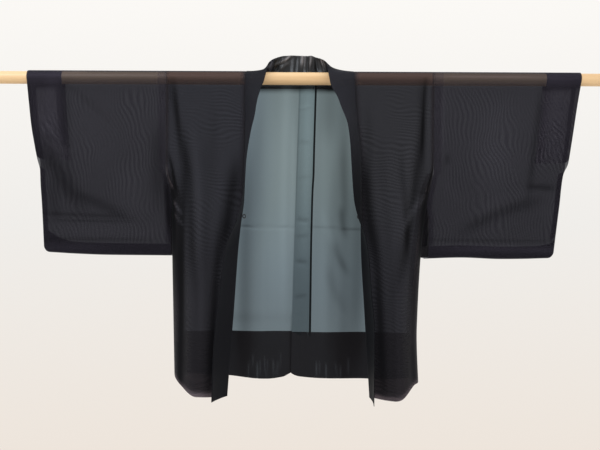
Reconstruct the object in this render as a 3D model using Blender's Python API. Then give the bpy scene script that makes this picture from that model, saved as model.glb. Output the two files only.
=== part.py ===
"""A woman's unlined summer haori of sheer gauze, hung open on a round wooden rod.

The rod passes through both sleeves and carries the whole garment. Each length of cloth is a
thin wall worked out from its sections. Lengths in the tables are millimetres, and the model
is in metres with +Z up: +X is the garment's left-hand side as a viewer in front of it sees
it on the right, -Y is the front. The origin is on the rod's axis, at the garment's middle.
"""

import math
from bisect import bisect_right
from collections import namedtuple

import bmesh
import bpy
from mathutils import Vector

MM = 0.001

# Driving sizes, in millimetres.
ROD_DIAMETER = 30.0
ROD_LENGTH = 1500.0
CLOTH = 1.2  # wall of a single length of cloth
TURNED = 1.0  # wall of a turned-in allowance, which lies inside its panel
BAND = 1.6  # wall of the folded collar band
SEAM = 0.3  # gap between two pieces at a seam
SHOULDER_RADIUS = ROD_DIAMETER / 2 + SEAM + TURNED + SEAM + CLOTH / 2  # cloth over the rod

SLEEVE_SEAM_END = -222.0  # height where the sleeve stops being sewn to the body
CUFF_END = -219.0  # height where the cuff opening ends and the outer edge is sewn
CUFF_OPEN = -195.0  # height down to which the cuff stands open at its full width
CUFF_DEPTH = 82.0  # how far the cuff is turned in
SLEEVE_DEPTH = 415.0
SLEEVE_FOOT = 3.5  # half the space between the sleeve's layers at its bottom
SLEEVE_CORNER = 14.0  # radius of the sleeve's lower outer corner
SEWN_HALF = 2.3  # half the space between the layers at the sleeve's sewn outer edge
PINCH = 70.0  # how far in from the sewn edge the layers draw together

GUSSET_TURN = 7.0  # radius with which the gusset turns away from the back
GUSSET_GAP = 0.7  # gap where the gusset meets the front, at an angle to it
GUSSET_START = -266.0
GUSSET_LEVEL = 0.376  # how far down the body the gusset starts
HEM_LEVEL = 0.85  # how far down the body the turned-up hem reaches
STRIP_SHARE = 0.6  # how much of the back lies under the shoulder strip
LAID = CLOTH / 2 + SEAM + TURNED / 2  # from a panel's middle to an allowance laid on it
NECK_DROP = -2.0  # height of the back's upper edge, behind the rod
NECK_INSET = 22.0  # how much narrower the neck is behind the rod than in front, on each side
FRONT_FOLD = 7.0  # depth of each front's two soft folds
BACK_EDGE_MIN = 9.0  # the back's side edge comes no nearer the rod's plane than this
SEAM_RIDGE = 3.0  # how far the centre seam stands back near the hem
SLEEVE_WAVE, WAVES = 2.0, 9.0  # depth of a sleeve's waves, and radians of them across it
FOOT_DROP = 0.8  # depth of the sleeve's bottom fold, for each unit of its half width
GUSSET_SHARES = (0, 0.1, 0.2, 0.3, 0.65, 1)  # places across the gusset
CORNER_SHARES = (0, 0.4, 0.75, 1)  # places across the sleeve's rounded corner
TURN_SHARE = 0.3  # how much of the gusset turns away from the back
LOOP_HEIGHT = -328.0  # height of the loops for the fastening cord
LOOP_RADIUS, LOOP_CORD = 3.2, 1.1
LOOP_STRETCH = 1.25  # how much taller than wide a loop is

# Counts of cells across and down each wall.
ROD_SIDES = 40
LOOP_AROUND, CORD_AROUND = 16, 6
FRONT_CELLS, BACK_CELLS = 10, 6
UPPER_ROWS, LOWER_ROWS, HEM_ROWS = 7, 8, 3  # down to the gusset, to the turned-up hem, to the edge
SHOULDER_ROWS = 8
SLEEVE_CELLS, CUFF_CELLS = 7, 3
CUFF_ROWS, SLEEVE_ROWS = 5, 5  # beside the cuff opening, and below it
BAND_CELLS = 4
COLLAR_ROWS = 21
SEAM_CELLS = 2  # width of the centre-back seam's allowance, in cells of the back
CENTRE_TOP, CENTRE_FOOT = 0.012, 0.002  # how far inside its rows that allowance starts and ends

# One row for each level of a front: its side edge, the two points that shape its curve, and
# the edge that the collar is sewn to. x is written for the side at -X and mirrored by hand.
Front = namedtuple("Front", "z side_x side_y out_x out_y in_x in_y seam_x seam_y")
FRONTS = {
    "left": [
        Front(0, -316.8, -17.2, -255, -17.2, -192, -17.2, -130.0, -17.2),
        Front(-90, -316.8, -14.2, -255, -19, -192, -23, -129.9, -20),
        Front(-197, -316.8, -10.7, -268, -24, -195, -42, -129.5, -26),
        Front(-222, -315.8, -9.8, -275, -28, -197, -47, -129.8, -28),
        Front(-286, -303, -8, -286, -46, -200, -66, -131.3, -34),
        Front(-353, -301, -15, -290, -66, -202, -92, -139.6, -42),
        Front(-409, -299.5, -21, -290, -84, -205, -114, -144.6, -50),
        Front(-540, -294.5, -33, -288, -108, -211, -146, -152.2, -65),
        Front(-735, -287, -50, -282, -136, -222, -172, -165.1, -83),
    ],
    "right": [
        Front(0, 316.3, -17.2, 255, -17.2, 192, -17.2, 128.3, -17.2),
        Front(-90, 316.3, -14.2, 255, -19, 194, -23, 133.8, -20),
        Front(-197, 316.3, -10.7, 272, -26, 202, -44, 144.6, -26),
        Front(-222, 315.3, -9.8, 277, -31, 204, -50, 144.8, -28),
        Front(-286, 303, -8, 284, -50, 206, -72, 145.0, -34),
        Front(-353, 293, -15, 284, -70, 205, -98, 144.6, -42),
        Front(-409, 286, -21, 280, -88, 204, -116, 145.5, -49),
        Front(-540, 276.5, -33, 273, -112, 210, -150, 152.2, -65),
        Front(-610, 273.8, -39, 270, -121, 214, -159, 156, -72),
        Front(-735, 277.5, -50, 272, -138, 222, -176, 163.3, -83),
    ],
}

# Hem level under each place across the garment, from the side edge at 0 to the middle or
# collar edge at 1.
Hem = namedtuple("Hem", "share z")
BACK_HEMS = {
    "left": [
        Hem(0, -700),
        Hem(0.2, -704),
        Hem(0.45, -709),
        Hem(0.78, -716),
        Hem(0.92, -712),
        Hem(1, -702),
    ],
    "right": [
        Hem(0, -711),
        Hem(0.3, -715),
        Hem(0.75, -714),
        Hem(0.92, -711),
        Hem(0.98, -706),
        Hem(1, -702),
    ],
}
FRONT_HEMS = {
    "left": [
        Hem(0, -684),
        Hem(0.1, -693),
        Hem(0.22, -700),
        Hem(0.36, -712),
        Hem(0.48, -721),
        Hem(0.6, -728),
        Hem(1, -737),
    ],
    "right": [
        Hem(0, -707),
        Hem(0.25, -706),
        Hem(0.4, -715),
        Hem(0.6, -733),
        Hem(0.72, -738),
        Hem(1, -739),
    ],
}

# Middle of the back at each level: the centre seam swings to -X as it falls.
Middle = namedtuple("Middle", "z x")
CENTRE_BACK = [Middle(0, -2), Middle(-250, -9), Middle(-600, -18), Middle(-720, -20)]

# Free edge of the collar beside each level of the seam.
Edge = namedtuple("Edge", "seam_z x y z")
COLLAR_EDGES = {
    "left": [
        Edge(-10, -91, -46, -26),
        Edge(-50, -100, -57, -62),
        Edge(-90, -105, -66, -96),
        Edge(-130, -113, -74, -133),
        Edge(-197, -122.4, -84, -200),
        Edge(-262, -125.7, -93, -265),
        Edge(-322, -137.6, -101, -325),
        Edge(-366, -155.4, -105, -369),
        Edge(-400, -167.4, -108, -403),
        Edge(-455, -174.9, -113, -458),
        Edge(-540, -183, -121, -544),
        Edge(-612, -190, -129, -618),
        Edge(-737, -193, -141, -741),
    ],
    "right": [
        Edge(-10, 76, -46, -30),
        Edge(-40, 87, -52, -50),
        Edge(-70, 96, -60, -76),
        Edge(-112, 110, -70, -115),
        Edge(-160, 115.7, -78, -163),
        Edge(-197, 117.7, -84, -201),
        Edge(-286, 123.4, -95, -288),
        Edge(-328, 133, -101, -331),
        Edge(-371, 149, -106, -374),
        Edge(-425, 157, -112, -428),
        Edge(-487, 161, -120, -491),
        Edge(-580, 168, -132, -586),
        Edge(-739, 166, -147, -747),
    ],
}

# The collar round the neck, from the front of the rod on the left to the front on the right:
# the seam, and the free edge that stands up behind the rod.
Neck = namedtuple("Neck", "seam_x seam_y seam_z edge_x edge_y edge_z crown")
NECK = [
    Neck(-130, -17.2, 0, -86, -43, -16, 4),
    Neck(-129.5, -12.2, 12.2, -80, -35, 10, 2),
    Neck(-126, 0, 17.2, -77, -17, 29, -10),
    Neck(-114.5, 12.2, 12.4, -70, 1, 43, -16),
    Neck(-105, 17.4, 1.5, -59, 13, 51.5, -10),
    Neck(-80, 17.4, NECK_DROP, -43, 22, 57, 0),
    Neck(-40, 17.6, NECK_DROP, -21, 26, 59.5, 1),
    Neck(0, 17.8, NECK_DROP, 2, 27, 59, 1),
    Neck(40, 17.6, NECK_DROP, 25, 26, 58.5, 1),
    Neck(80, 17.4, NECK_DROP, 43, 20, 53.5, 1),
    Neck(103, 17.4, 1.5, 56, 9, 45.5, -2),
    Neck(112.5, 12.2, 12.4, 62, -6, 37, -4),
    Neck(124.5, 0, 17.2, 64, -22, 25, -2),
    Neck(128, -12.2, 12.2, 67, -36, 4, 3),
    Neck(128.3, -17.2, 0, 71, -43, -18, 5),
]
COLLAR_TOP, LEFT_FOOT, RIGHT_FOOT = -12, -737, -739  # levels at which the collar's fronts start and end
NECK_STEPS = 3  # stations made between two rows of that table
FRONT_CROWN = 2.5  # how far the collar bows out beside the fronts

# Puckers of the collar behind the neck: place along X, width, depth.
Pucker = namedtuple("Pucker", "x width depth")
PUCKERS = [
    Pucker(-62, 9, 2.2),
    Pucker(-41, 7, -2.6),
    Pucker(-25, 6, 2.4),
    Pucker(-9, 7, -2.2),
    Pucker(8, 6, 2.6),
    Pucker(24, 8, -2.4),
    Pucker(43, 8, 2.4),
    Pucker(62, 9, -1.8),
]

# Soft vertical folds of the back: place across a half, width, depth to the front.
Fold = namedtuple("Fold", "share width depth")
BACK_FOLDS = [
    Fold(0.16, 0.09, 3.5),
    Fold(0.42, 0.1, -4.0),
    Fold(0.68, 0.09, 3.0),
    Fold(0.9, 0.06, -2.0),
]

# Sleeve edges at each level, where the back layer's inner edge hangs closer to the body than the
# front layer's, and the bottom's level at each place across.
Sleeve = namedtuple("Sleeve", "z inner_x back_x outer_x")
SLEEVES = {
    "left": [
        Sleeve(0, -317.1, -317.1, -646),
        Sleeve(-60, -317.1, -317.1, -640.5),
        Sleeve(-115, -317.1, -317.1, -635),
        Sleeve(-170, -317.1, -317.1, -626),
        Sleeve(-222, -317.1, -317.1, -617),
        Sleeve(-252, -311.8, -311.4, -615.8),
        Sleeve(-290, -306, -305.2, -613),
        Sleeve(-340, -305.6, -303.6, -610),
        Sleeve(-420, -305.4, -302.2, -606),
    ],
    "right": [
        Sleeve(0, 316.6, 316.6, 664.5),
        Sleeve(-60, 316.6, 316.6, 655),
        Sleeve(-115, 316.6, 316.6, 647.5),
        Sleeve(-170, 316.6, 316.6, 639.7),
        Sleeve(-205, 316.6, 316.6, 634),
        Sleeve(-226, 316.5, 316.4, 626),
        Sleeve(-255, 311, 310.6, 621.5),
        Sleeve(-290, 307.4, 304.4, 618),
        Sleeve(-340, 306.6, 297.2, 612),
        Sleeve(-420, 306, 289.0, 602.5),
    ],
}
SLEEVE_BOTTOMS = {
    "left": [Hem(0, -419), Hem(0.5, -418), Hem(1, -412.5)],
    "right": [Hem(0, -424), Hem(0.3, -421), Hem(0.6, -424), Hem(1, -422)],
}

GAUZE = ("gauze", (0.016, 0.017, 0.021), 0.62)
GAUZE_TURNED = ("gauze turned in", (0.011, 0.011, 0.014), 0.66)
GAUZE_BAND = ("gauze collar", (0.013, 0.014, 0.018), 0.5)
PALE_WOOD = ("pale wood", (0.78, 0.53, 0.29), 0.5)


def between(rows, key, value, at):
    """The value column of a table where its key column, which falls or rises, is at."""
    keys = [getattr(row, key) for row in rows]
    values = [getattr(row, value) for row in rows]
    if keys[0] > keys[-1]:
        keys, values = keys[::-1], values[::-1]
    if at <= keys[0]:
        return values[0]
    if at >= keys[-1]:
        return values[-1]
    i = bisect_right(keys, at) - 1

    def slope(j):
        """The curve's slope at a row, level where the values turn, so that it never overshoots."""
        low, high = max(j - 1, 0), min(j + 1, len(keys) - 1)
        before = (values[j] - values[low]) / (keys[j] - keys[low]) if j > low else None
        after = (values[high] - values[j]) / (keys[high] - keys[j]) if high > j else None
        if before is None or after is None:
            return after if before is None else before
        return 2 * before * after / (before + after) if before * after > 0 else 0.0

    span = keys[i + 1] - keys[i]
    t = (at - keys[i]) / span
    a = values[i] * (2 * t**3 - 3 * t**2 + 1) + values[i + 1] * (3 * t**2 - 2 * t**3)
    return a + span * (slope(i) * (t**3 - 2 * t**2 + t) + slope(i + 1) * (t**3 - t**2))


def ease(low, high, at):
    """0 up to low, 1 past high, and a smooth rise between."""
    t = min(max((at - low) / (high - low), 0.0), 1.0)
    return t * t * (3 - 2 * t)


def mix(a, b, t):
    return a + (b - a) * t


def shares(count):
    return [i / count for i in range(count + 1)]


def hill(distance, width):
    return math.exp(-((distance / width) ** 2))


def layer_half(z):
    """Half the space between the front and back layers at the sleeve seam."""
    return mix(SHOULDER_RADIUS, SLEEVE_FOOT, min(-z / SLEEVE_DEPTH, 1.0))


def sign(side):
    return -1 if side == "left" else 1


# Points of the body's cloth.


def front_point(side, share, z):
    """A point of a front, from its side edge at share 0 to the collar seam at 1."""
    row = {c: between(FRONTS[side], "z", c, z) for c in Front._fields[1:]}
    t, s = share, 1 - share
    curve = (s**3, 3 * s * s * t, 3 * s * t * t, t**3)
    x = sum(k * row[c] for k, c in zip(curve, ("side_x", "out_x", "in_x", "seam_x")))
    y = sum(k * row[c] for k, c in zip(curve, ("side_y", "out_y", "in_y", "seam_y")))
    fold = FRONT_FOLD * ease(-180, -330, z) * (hill(share - 0.36, 0.1) - hill(share - 0.62, 0.11))
    return Vector((x, y + fold, z))


def back_side_x(side, z):
    """The back's side edge: at the sleeve seam above, and where the gusset turns below."""
    turn = ease(SLEEVE_SEAM_END, GUSSET_START, z)
    return between(FRONTS[side], "z", "side_x", z) - sign(side) * turn * (GUSSET_TURN + SEAM)


def back_side_y(z):
    return max(layer_half(z), BACK_EDGE_MIN)


def back_point(side, share, z):
    """A point of the back, from its side edge at share 0 to the centre seam at 1."""
    middle = between(CENTRE_BACK, "z", "x", z) + sign(side) * SEAM / 2
    x = mix(back_side_x(side, z), middle, share)
    y = mix(back_side_y(z), SHOULDER_RADIUS + 0.4, ease(0, 0.45, share))
    for fold in BACK_FOLDS:
        y -= fold.depth * hill(share - fold.share, fold.width) * ease(-60, -420, z)
    y += SEAM_RIDGE * hill(share - 1, 0.05) * ease(-300, -650, z)
    return Vector((x, y, z))


def shoulder_point(side, share, angle):
    """Cloth over the rod: angle 0 is at the front, pi at the back."""
    edge = front_point(side, share, 0.0).x
    inner = ease(0.55, 1, share) * ease(0.35 * math.pi, math.pi, angle)
    x = edge - sign(side) * NECK_INSET * inner
    return Vector((x, -SHOULDER_RADIUS * math.cos(angle), SHOULDER_RADIUS * math.sin(angle)))


def gusset_point(side, share, z):
    """The gusset, from the back's edge at share 0 round to the front's edge at 1."""
    out = sign(side)
    side_x = between(FRONTS[side], "z", "side_x", z)
    back_y, front_y = back_side_y(z), between(FRONTS[side], "z", "side_y", z) + GUSSET_GAP
    if share < TURN_SHARE:
        a = share / TURN_SHARE * math.pi / 2
        x = side_x - out * GUSSET_TURN * (1 - math.sin(a))
        return Vector((x, back_y - GUSSET_TURN * (1 - math.cos(a)), z))
    t = (share - TURN_SHARE) / (1 - TURN_SHARE)
    return Vector((side_x, mix(back_y - GUSSET_TURN, front_y, t), z))


def body_levels():
    """How far down the body each row of points lies."""
    upper = [GUSSET_LEVEL * i / UPPER_ROWS for i in range(UPPER_ROWS)]
    lower = [mix(GUSSET_LEVEL, HEM_LEVEL, i / LOWER_ROWS) for i in range(LOWER_ROWS)]
    return upper + lower + [mix(HEM_LEVEL, 1.0, i / HEM_ROWS) for i in range(HEM_ROWS + 1)]


def back_shares():
    """Places across the back: under the shoulder strip, then on to the centre seam."""
    strip = [STRIP_SHARE * s for s in shares(FRONT_CELLS)]
    return strip + [mix(STRIP_SHARE, 1, s) for s in shares(BACK_CELLS)[1:]]


def back_row(side, level):
    row = []
    for s in back_shares():
        top = mix(0.0, NECK_DROP - SEAM, ease(STRIP_SHARE, STRIP_SHARE + 0.1, s))
        row.append(back_point(side, s, mix(top, between(BACK_HEMS[side], "share", "z", s), level)))
    return row


def front_row(side, level):
    hems = FRONT_HEMS[side]
    across = shares(FRONT_CELLS)
    return [front_point(side, s, level * between(hems, "share", "z", s)) for s in across]


def laid_inside(rows, off, inside):
    """A grid of points moved off along its normals, to the side where y grows by inside."""
    made = []
    for r, row in enumerate(rows):
        above, below = rows[max(r - 1, 0)], rows[min(r + 1, len(rows) - 1)]
        moved = []
        for c, point in enumerate(row):
            across = row[min(c + 1, len(row) - 1)] - row[max(c - 1, 0)]
            normal = across.cross(below[c] - above[c]).normalized()
            moved.append(point + normal * math.copysign(off, normal.y * inside))
        made.append(moved)
    return made


# Making the solids.


def material(finish):
    name, colour, roughness = finish
    made = bpy.data.materials.get(name)
    if made is None:
        made = bpy.data.materials.new(name)
        made.use_nodes = True
        shader = made.node_tree.nodes["Principled BSDF"]
        shader.inputs["Base Color"].default_value = (*colour, 1)
        shader.inputs["Roughness"].default_value = roughness
        shader.inputs["Metallic"].default_value = 0.0
    return made


def object_from(name, points, faces, finish):
    mesh = bpy.data.meshes.new(name)
    mesh.from_pydata([tuple(p * MM) for p in points], [], faces)
    made = bpy.data.objects.new(name, mesh)
    bpy.context.scene.collection.objects.link(made)
    mesh.materials.append(material(finish))
    mesh.shade_smooth()
    return made


def wall(name, points, faces, thickness, finish):
    """A thin closed wall of even thickness about a middle surface."""
    made = object_from(name, points, faces, finish)
    solid = made.modifiers.new("cloth wall", "SOLIDIFY")
    solid.thickness = thickness * MM
    solid.offset = 0.0
    solid.use_even_offset = False
    solid.use_rim = True
    return made


def sheet(name, rows, thickness, finish):
    """A wall about a grid of points given as rows of equal length."""
    width = len(rows[0])
    points = [p for row in rows for p in row]
    faces = []
    for r in range(len(rows) - 1):
        for c in range(width - 1):
            a = r * width + c
            faces.append((a, a + 1, a + width + 1, a + width))
    return wall(name, points, faces, thickness, finish)


def make_body(side):
    """A body length: back hem, up over the rod, and down to the front hem."""
    rows = [back_row(side, level) for level in reversed(body_levels())]
    rows[-1][: FRONT_CELLS + 1] = [shoulder_point(side, s, math.pi) for s in shares(FRONT_CELLS)]
    for i in range(1, SHOULDER_ROWS):
        angle = math.pi * (1 - i / SHOULDER_ROWS)
        rows.append([shoulder_point(side, s, angle) for s in shares(FRONT_CELLS)])
    rows += [front_row(side, level) for level in body_levels()]
    points, faces, low = [], [], None
    for row in rows:
        high = range(len(points), len(points) + len(row))
        points.extend(row)
        if low is not None:
            for c in range(min(len(low), len(high)) - 1):
                quad = (low[c], low[c + 1], high[c + 1], high[c])
                faces.append(quad if side == "right" else quad[::-1])
        low = high
    return wall(f"body_{side}", points, faces, CLOTH, GAUZE)


def make_gusset(side):
    rows = []
    back_hem = between(BACK_HEMS[side], "share", "z", 0)
    front_hem = between(FRONT_HEMS[side], "share", "z", 0)
    for level in body_levels()[UPPER_ROWS:]:
        levels = [level * mix(back_hem, front_hem, s) for s in GUSSET_SHARES]
        rows.append([gusset_point(side, s, z) for s, z in zip(GUSSET_SHARES, levels)])
    return sheet(f"gusset_{side}", rows, CLOTH, GAUZE)


def make_hems(side):
    """The turned-up hems, lying inside the back and the front."""
    levels = body_levels()[UPPER_ROWS + LOWER_ROWS :]
    for name, row_at, inside in (("back", back_row, -1), ("front", front_row, 1)):
        rows = laid_inside([row_at(side, level) for level in levels], LAID, inside)
        sheet(f"hem_{name}_{side}", rows, TURNED, GAUZE_TURNED)


def make_centre_seam():
    """The centre-back seam's allowance, laid inside the right half of the back."""
    levels = body_levels()[: UPPER_ROWS + LOWER_ROWS + 1]
    levels[0] += CENTRE_TOP
    levels[-1] -= CENTRE_FOOT
    rows = [back_row("right", level)[-SEAM_CELLS - 1 :] for level in levels]
    return sheet("seam_back", laid_inside(rows, LAID, -1), TURNED, GAUZE_TURNED)


# Sleeves.


def sleeve_bottom(side, share, width):
    """The bottom's level, with the rounded outer corner."""
    level = between(SLEEVE_BOTTOMS[side], "share", "z", share)
    from_edge = (1 - share) * width
    if from_edge < SLEEVE_CORNER:
        level += SLEEVE_CORNER - math.sqrt(SLEEVE_CORNER**2 - (SLEEVE_CORNER - from_edge) ** 2)
    return level


def sleeve_point(side, share, z, face):
    """A point of a sleeve's front (face -1) or back (face 1) layer, share 1 at the cuff."""
    inner = between(SLEEVES[side], "z", "inner_x" if face < 0 else "back_x", z)
    outer = between(SLEEVES[side], "z", "outer_x", z)
    half = layer_half(z)
    from_edge = (1 - share) * abs(outer - inner)
    sewn = ease(CUFF_OPEN, CUFF_END, z) * (1 - ease(0, PINCH, from_edge))
    half = mix(half, SEWN_HALF, sewn)
    wave = SLEEVE_WAVE * math.sin(share * WAVES + 0.6) * ease(-80, -300, z)
    return Vector((mix(inner, outer, share), face * half + wave, z))


def sleeve_shares(width):
    """Across a sleeve: to the turned-in cuff, over it, and closer in the rounded corner."""
    cuff = 1 - CUFF_DEPTH / width
    corner = 1 - SLEEVE_CORNER / width
    body = [cuff * i / SLEEVE_CELLS for i in range(SLEEVE_CELLS)]
    turned = [mix(cuff, corner, i / CUFF_CELLS) for i in range(CUFF_CELLS)]
    return body + turned + [mix(corner, 1, s) for s in CORNER_SHARES]


def sleeve_levels():
    """How far down a sleeve each row of points lies: beside the open cuff, then below it."""
    beside = [-CUFF_OPEN / SLEEVE_DEPTH * s for s in shares(CUFF_ROWS)]
    return beside + [mix(-CUFF_END / SLEEVE_DEPTH, 1, s) for s in shares(SLEEVE_ROWS)]


def sleeve_width(side):
    return abs(SLEEVES[side][0].outer_x - SLEEVES[side][0].inner_x)


def sleeve_row(side, level, face):
    width = sleeve_width(side)
    row = []
    for s in sleeve_shares(width):
        row.append(sleeve_point(side, s, level * sleeve_bottom(side, s, width), face))
    return row


def sleeve_over_rod(side, radius):
    """Rows of a sleeve over the rod, from the back to the front."""
    rows = []
    for i in range(1, SHOULDER_ROWS):
        angle = math.pi * (1 - i / SHOULDER_ROWS)
        y, z = -radius * math.cos(angle), radius * math.sin(angle)
        rows.append([Vector((p.x, y, z)) for p in sleeve_row(side, 0.0, 1)])
    return rows


def make_sleeve(side):
    """A flattened tube about the rod, open at both ends but for the outer edge's lower part."""
    levels = sleeve_levels()
    rows = [sleeve_row(side, level, 1) for level in reversed(levels)]
    rows += sleeve_over_rod(side, SHOULDER_RADIUS)
    rows += [sleeve_row(side, level, -1) for level in levels]
    foot = []
    for back, front in zip(rows[0], rows[-1]):
        middle = (back + front) / 2
        foot.append(middle - Vector((0, 0, FOOT_DROP * (back.y - front.y) / 2)))
    rows.append(foot)
    count, last = len(foot), len(foot) - 1
    points = [p for row in rows for p in row]
    faces = []
    for r in range(len(rows)):
        low, high = r * count, (r + 1) % len(rows) * count
        faces += [(low + c, low + c + 1, high + c + 1, high + c) for c in range(last)]
    bottom = len(rows) - 2
    for i in range(SLEEVE_ROWS):
        back, front = i * count + last, (bottom - i) * count + last
        faces.append((back, front, front - count, back + count))
    faces.append((last, (bottom + 1) * count + last, bottom * count + last))
    if side == "left":
        faces = [face[::-1] for face in faces]
    return wall(f"sleeve_{side}", points, faces, CLOTH, GAUZE)


def make_cuff(side):
    """The cuff's turned-in depth, inside the sleeve from the opening's end over the rod."""
    levels = sleeve_levels()[: CUFF_ROWS + 1]
    back = laid_inside([sleeve_row(side, level, 1)[SLEEVE_CELLS:] for level in levels], LAID, -1)
    front = laid_inside([sleeve_row(side, level, -1)[SLEEVE_CELLS:] for level in levels], LAID, 1)
    over = [row[SLEEVE_CELLS:] for row in sleeve_over_rod(side, SHOULDER_RADIUS - LAID)]
    return sheet(f"cuff_{side}", back[:0:-1] + back[:1] + over + front, TURNED, GAUZE_TURNED)


# The collar.


Station = namedtuple("Station", "seam edge crown onward")  # onward runs on past the panel's edge


def front_station(side, seam_z):
    """The collar beside a front."""
    seam = front_point(side, 1.0, seam_z)
    edge = Vector([between(COLLAR_EDGES[side], "seam_z", c, seam_z) for c in ("x", "y", "z")])
    onward = (seam - front_point(side, 0.98, seam_z)).normalized()
    return Station(seam, edge, FRONT_CROWN, onward)


def neck_stations():
    """Stations round the neck, smooth through the table's rows."""
    Indexed = namedtuple("Indexed", ("at",) + Neck._fields)
    table = [Indexed(i, *row) for i, row in enumerate(NECK)]
    made = []
    for i in range((len(NECK) - 1) * NECK_STEPS + 1):
        v = {c: between(table, "at", c, i / NECK_STEPS) for c in Neck._fields}
        seam = Vector((v["seam_x"], v["seam_y"], v["seam_z"]))
        edge = Vector((v["edge_x"], v["edge_y"], v["edge_z"]))
        over = ease(88, 124, abs(seam.x)) if seam.y > 0 else 1.0
        onward = Vector((-math.copysign(over, seam.x), 0, 1 - over)).normalized()
        made.append(Station(seam, edge, v["crown"], onward))
    return made


def collar_row(station, along):
    """A row of points across the collar, started just clear of the panel's edge."""
    across = (station.edge - station.seam).normalized()
    lift = across.cross(along).normalized()
    lean = across.dot(station.onward)
    aside = (across - station.onward * lean).normalized()
    clear = station.onward * (SEAM + (BAND / 2 + SEAM) * math.sqrt(max(1 - lean * lean, 0)))
    clear += aside * (CLOTH / 2 + BAND / 2 + 3 * SEAM) * ease(0.2, 0.9, -lean)
    root = station.seam + clear
    row = []
    for s in shares(BAND_CELLS):
        point = root.lerp(station.edge, s) + lift * station.crown * 4 * s * (1 - s)
        behind = ease(30, 52, station.edge.z) * ease(0.05, 0.5, s)
        for pucker in PUCKERS:
            point.y += behind * pucker.depth * hill(point.x - pucker.x, pucker.width)
        out = math.hypot(point.y, point.z)
        if out < SHOULDER_RADIUS:  # it lies over the rod there
            point.y, point.z = (c * SHOULDER_RADIUS / out for c in (point.y, point.z))
        row.append(point)
    return row


def make_collar():
    stations = [front_station("left", mix(LEFT_FOOT, COLLAR_TOP, s)) for s in shares(COLLAR_ROWS)]
    stations += neck_stations()
    stations += [front_station("right", mix(COLLAR_TOP, RIGHT_FOOT, s)) for s in shares(COLLAR_ROWS)]
    rows = []
    for i, station in enumerate(stations):
        before, after = stations[max(i - 1, 0)], stations[min(i + 1, len(stations) - 1)]
        along = after.seam + after.edge - before.seam - before.edge
        rows.append(collar_row(station, along.normalized()))
    return sheet("collar", rows, BAND, GAUZE_BAND)


def make_loop(side):
    """A small loop of cloth at the collar seam, which takes the fastening cord."""
    seam = front_point(side, 1.0, LOOP_HEIGHT)
    reach = BAND + 3 * SEAM + LOOP_CORD + LOOP_RADIUS
    centre = Vector((seam.x - sign(side) * reach, seam.y, seam.z))
    points, faces = [], []
    for i in range(LOOP_AROUND):
        a = 2 * math.pi * i / LOOP_AROUND
        for j in range(CORD_AROUND):
            b = 2 * math.pi * j / CORD_AROUND
            r = LOOP_RADIUS + LOOP_CORD * math.cos(b)
            offset = (r * math.cos(a), LOOP_CORD * math.sin(b), LOOP_STRETCH * r * math.sin(a))
            points.append(centre + Vector(offset))
            here, onward = i * CORD_AROUND, (i + 1) % LOOP_AROUND * CORD_AROUND
            m = (j + 1) % CORD_AROUND
            faces.append((here + j, here + m, onward + m, onward + j))
    return object_from(f"loop_{side}", points, faces, GAUZE_BAND)


def make_rod():
    mesh = bpy.data.meshes.new("rod")
    bm = bmesh.new()
    bmesh.ops.create_cone(
        bm,
        cap_ends=True,
        segments=ROD_SIDES,
        radius1=ROD_DIAMETER / 2 * MM,
        radius2=ROD_DIAMETER / 2 * MM,
        depth=ROD_LENGTH * MM,
    )
    bm.to_mesh(mesh)
    bm.free()
    rod = bpy.data.objects.new("rod", mesh)
    rod.rotation_euler = (0, math.pi / 2, 0)
    bpy.context.scene.collection.objects.link(rod)
    mesh.materials.append(material(PALE_WOOD))
    mesh.shade_smooth()
    mesh.set_sharp_from_angle(angle=math.radians(40))
    return rod


def main():
    for old in list(bpy.data.objects):
        bpy.data.objects.remove(old, do_unlink=True)
    make_rod()
    for side in ("left", "right"):
        make_body(side)
        make_gusset(side)
        make_hems(side)
        make_sleeve(side)
        make_cuff(side)
        make_loop(side)
    make_centre_seam()
    make_collar()


main()
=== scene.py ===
"""The looks of a woman's sheer summer haori, hung open on a pale wooden rod.

Every length of cloth is a sheet on the form of its solid, worked out from the same tables of real
sizes, with the creases, allowances, stitches and weave that the solids leave out. Lengths are
millimetres unless a comment says otherwise. +X is to the right of a viewer in front, -Y is the
front and +Z is up; the origin is on the rod's axis, at the garment's middle.
"""

import math
from collections import namedtuple

import bpy
import numpy as np
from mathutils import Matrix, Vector


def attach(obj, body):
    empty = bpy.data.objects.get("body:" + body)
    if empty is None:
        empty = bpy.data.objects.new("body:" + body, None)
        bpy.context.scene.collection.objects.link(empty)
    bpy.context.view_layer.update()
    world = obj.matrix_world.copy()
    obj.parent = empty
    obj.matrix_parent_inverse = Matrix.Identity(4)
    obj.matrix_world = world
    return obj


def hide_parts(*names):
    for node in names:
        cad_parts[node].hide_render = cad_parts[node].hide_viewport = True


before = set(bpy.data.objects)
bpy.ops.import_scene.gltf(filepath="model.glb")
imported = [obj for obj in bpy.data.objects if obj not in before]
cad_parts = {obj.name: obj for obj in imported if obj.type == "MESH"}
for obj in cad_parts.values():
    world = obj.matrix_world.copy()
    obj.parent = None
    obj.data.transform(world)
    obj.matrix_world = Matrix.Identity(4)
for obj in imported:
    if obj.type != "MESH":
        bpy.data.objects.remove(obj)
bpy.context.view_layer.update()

MM = 0.001
FRONT, BACK = -1, 1  # a layer's face: the sign of Y on which it lies
FACES = {"front": FRONT, "back": BACK}

# Sizes shared with the solids.

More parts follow.
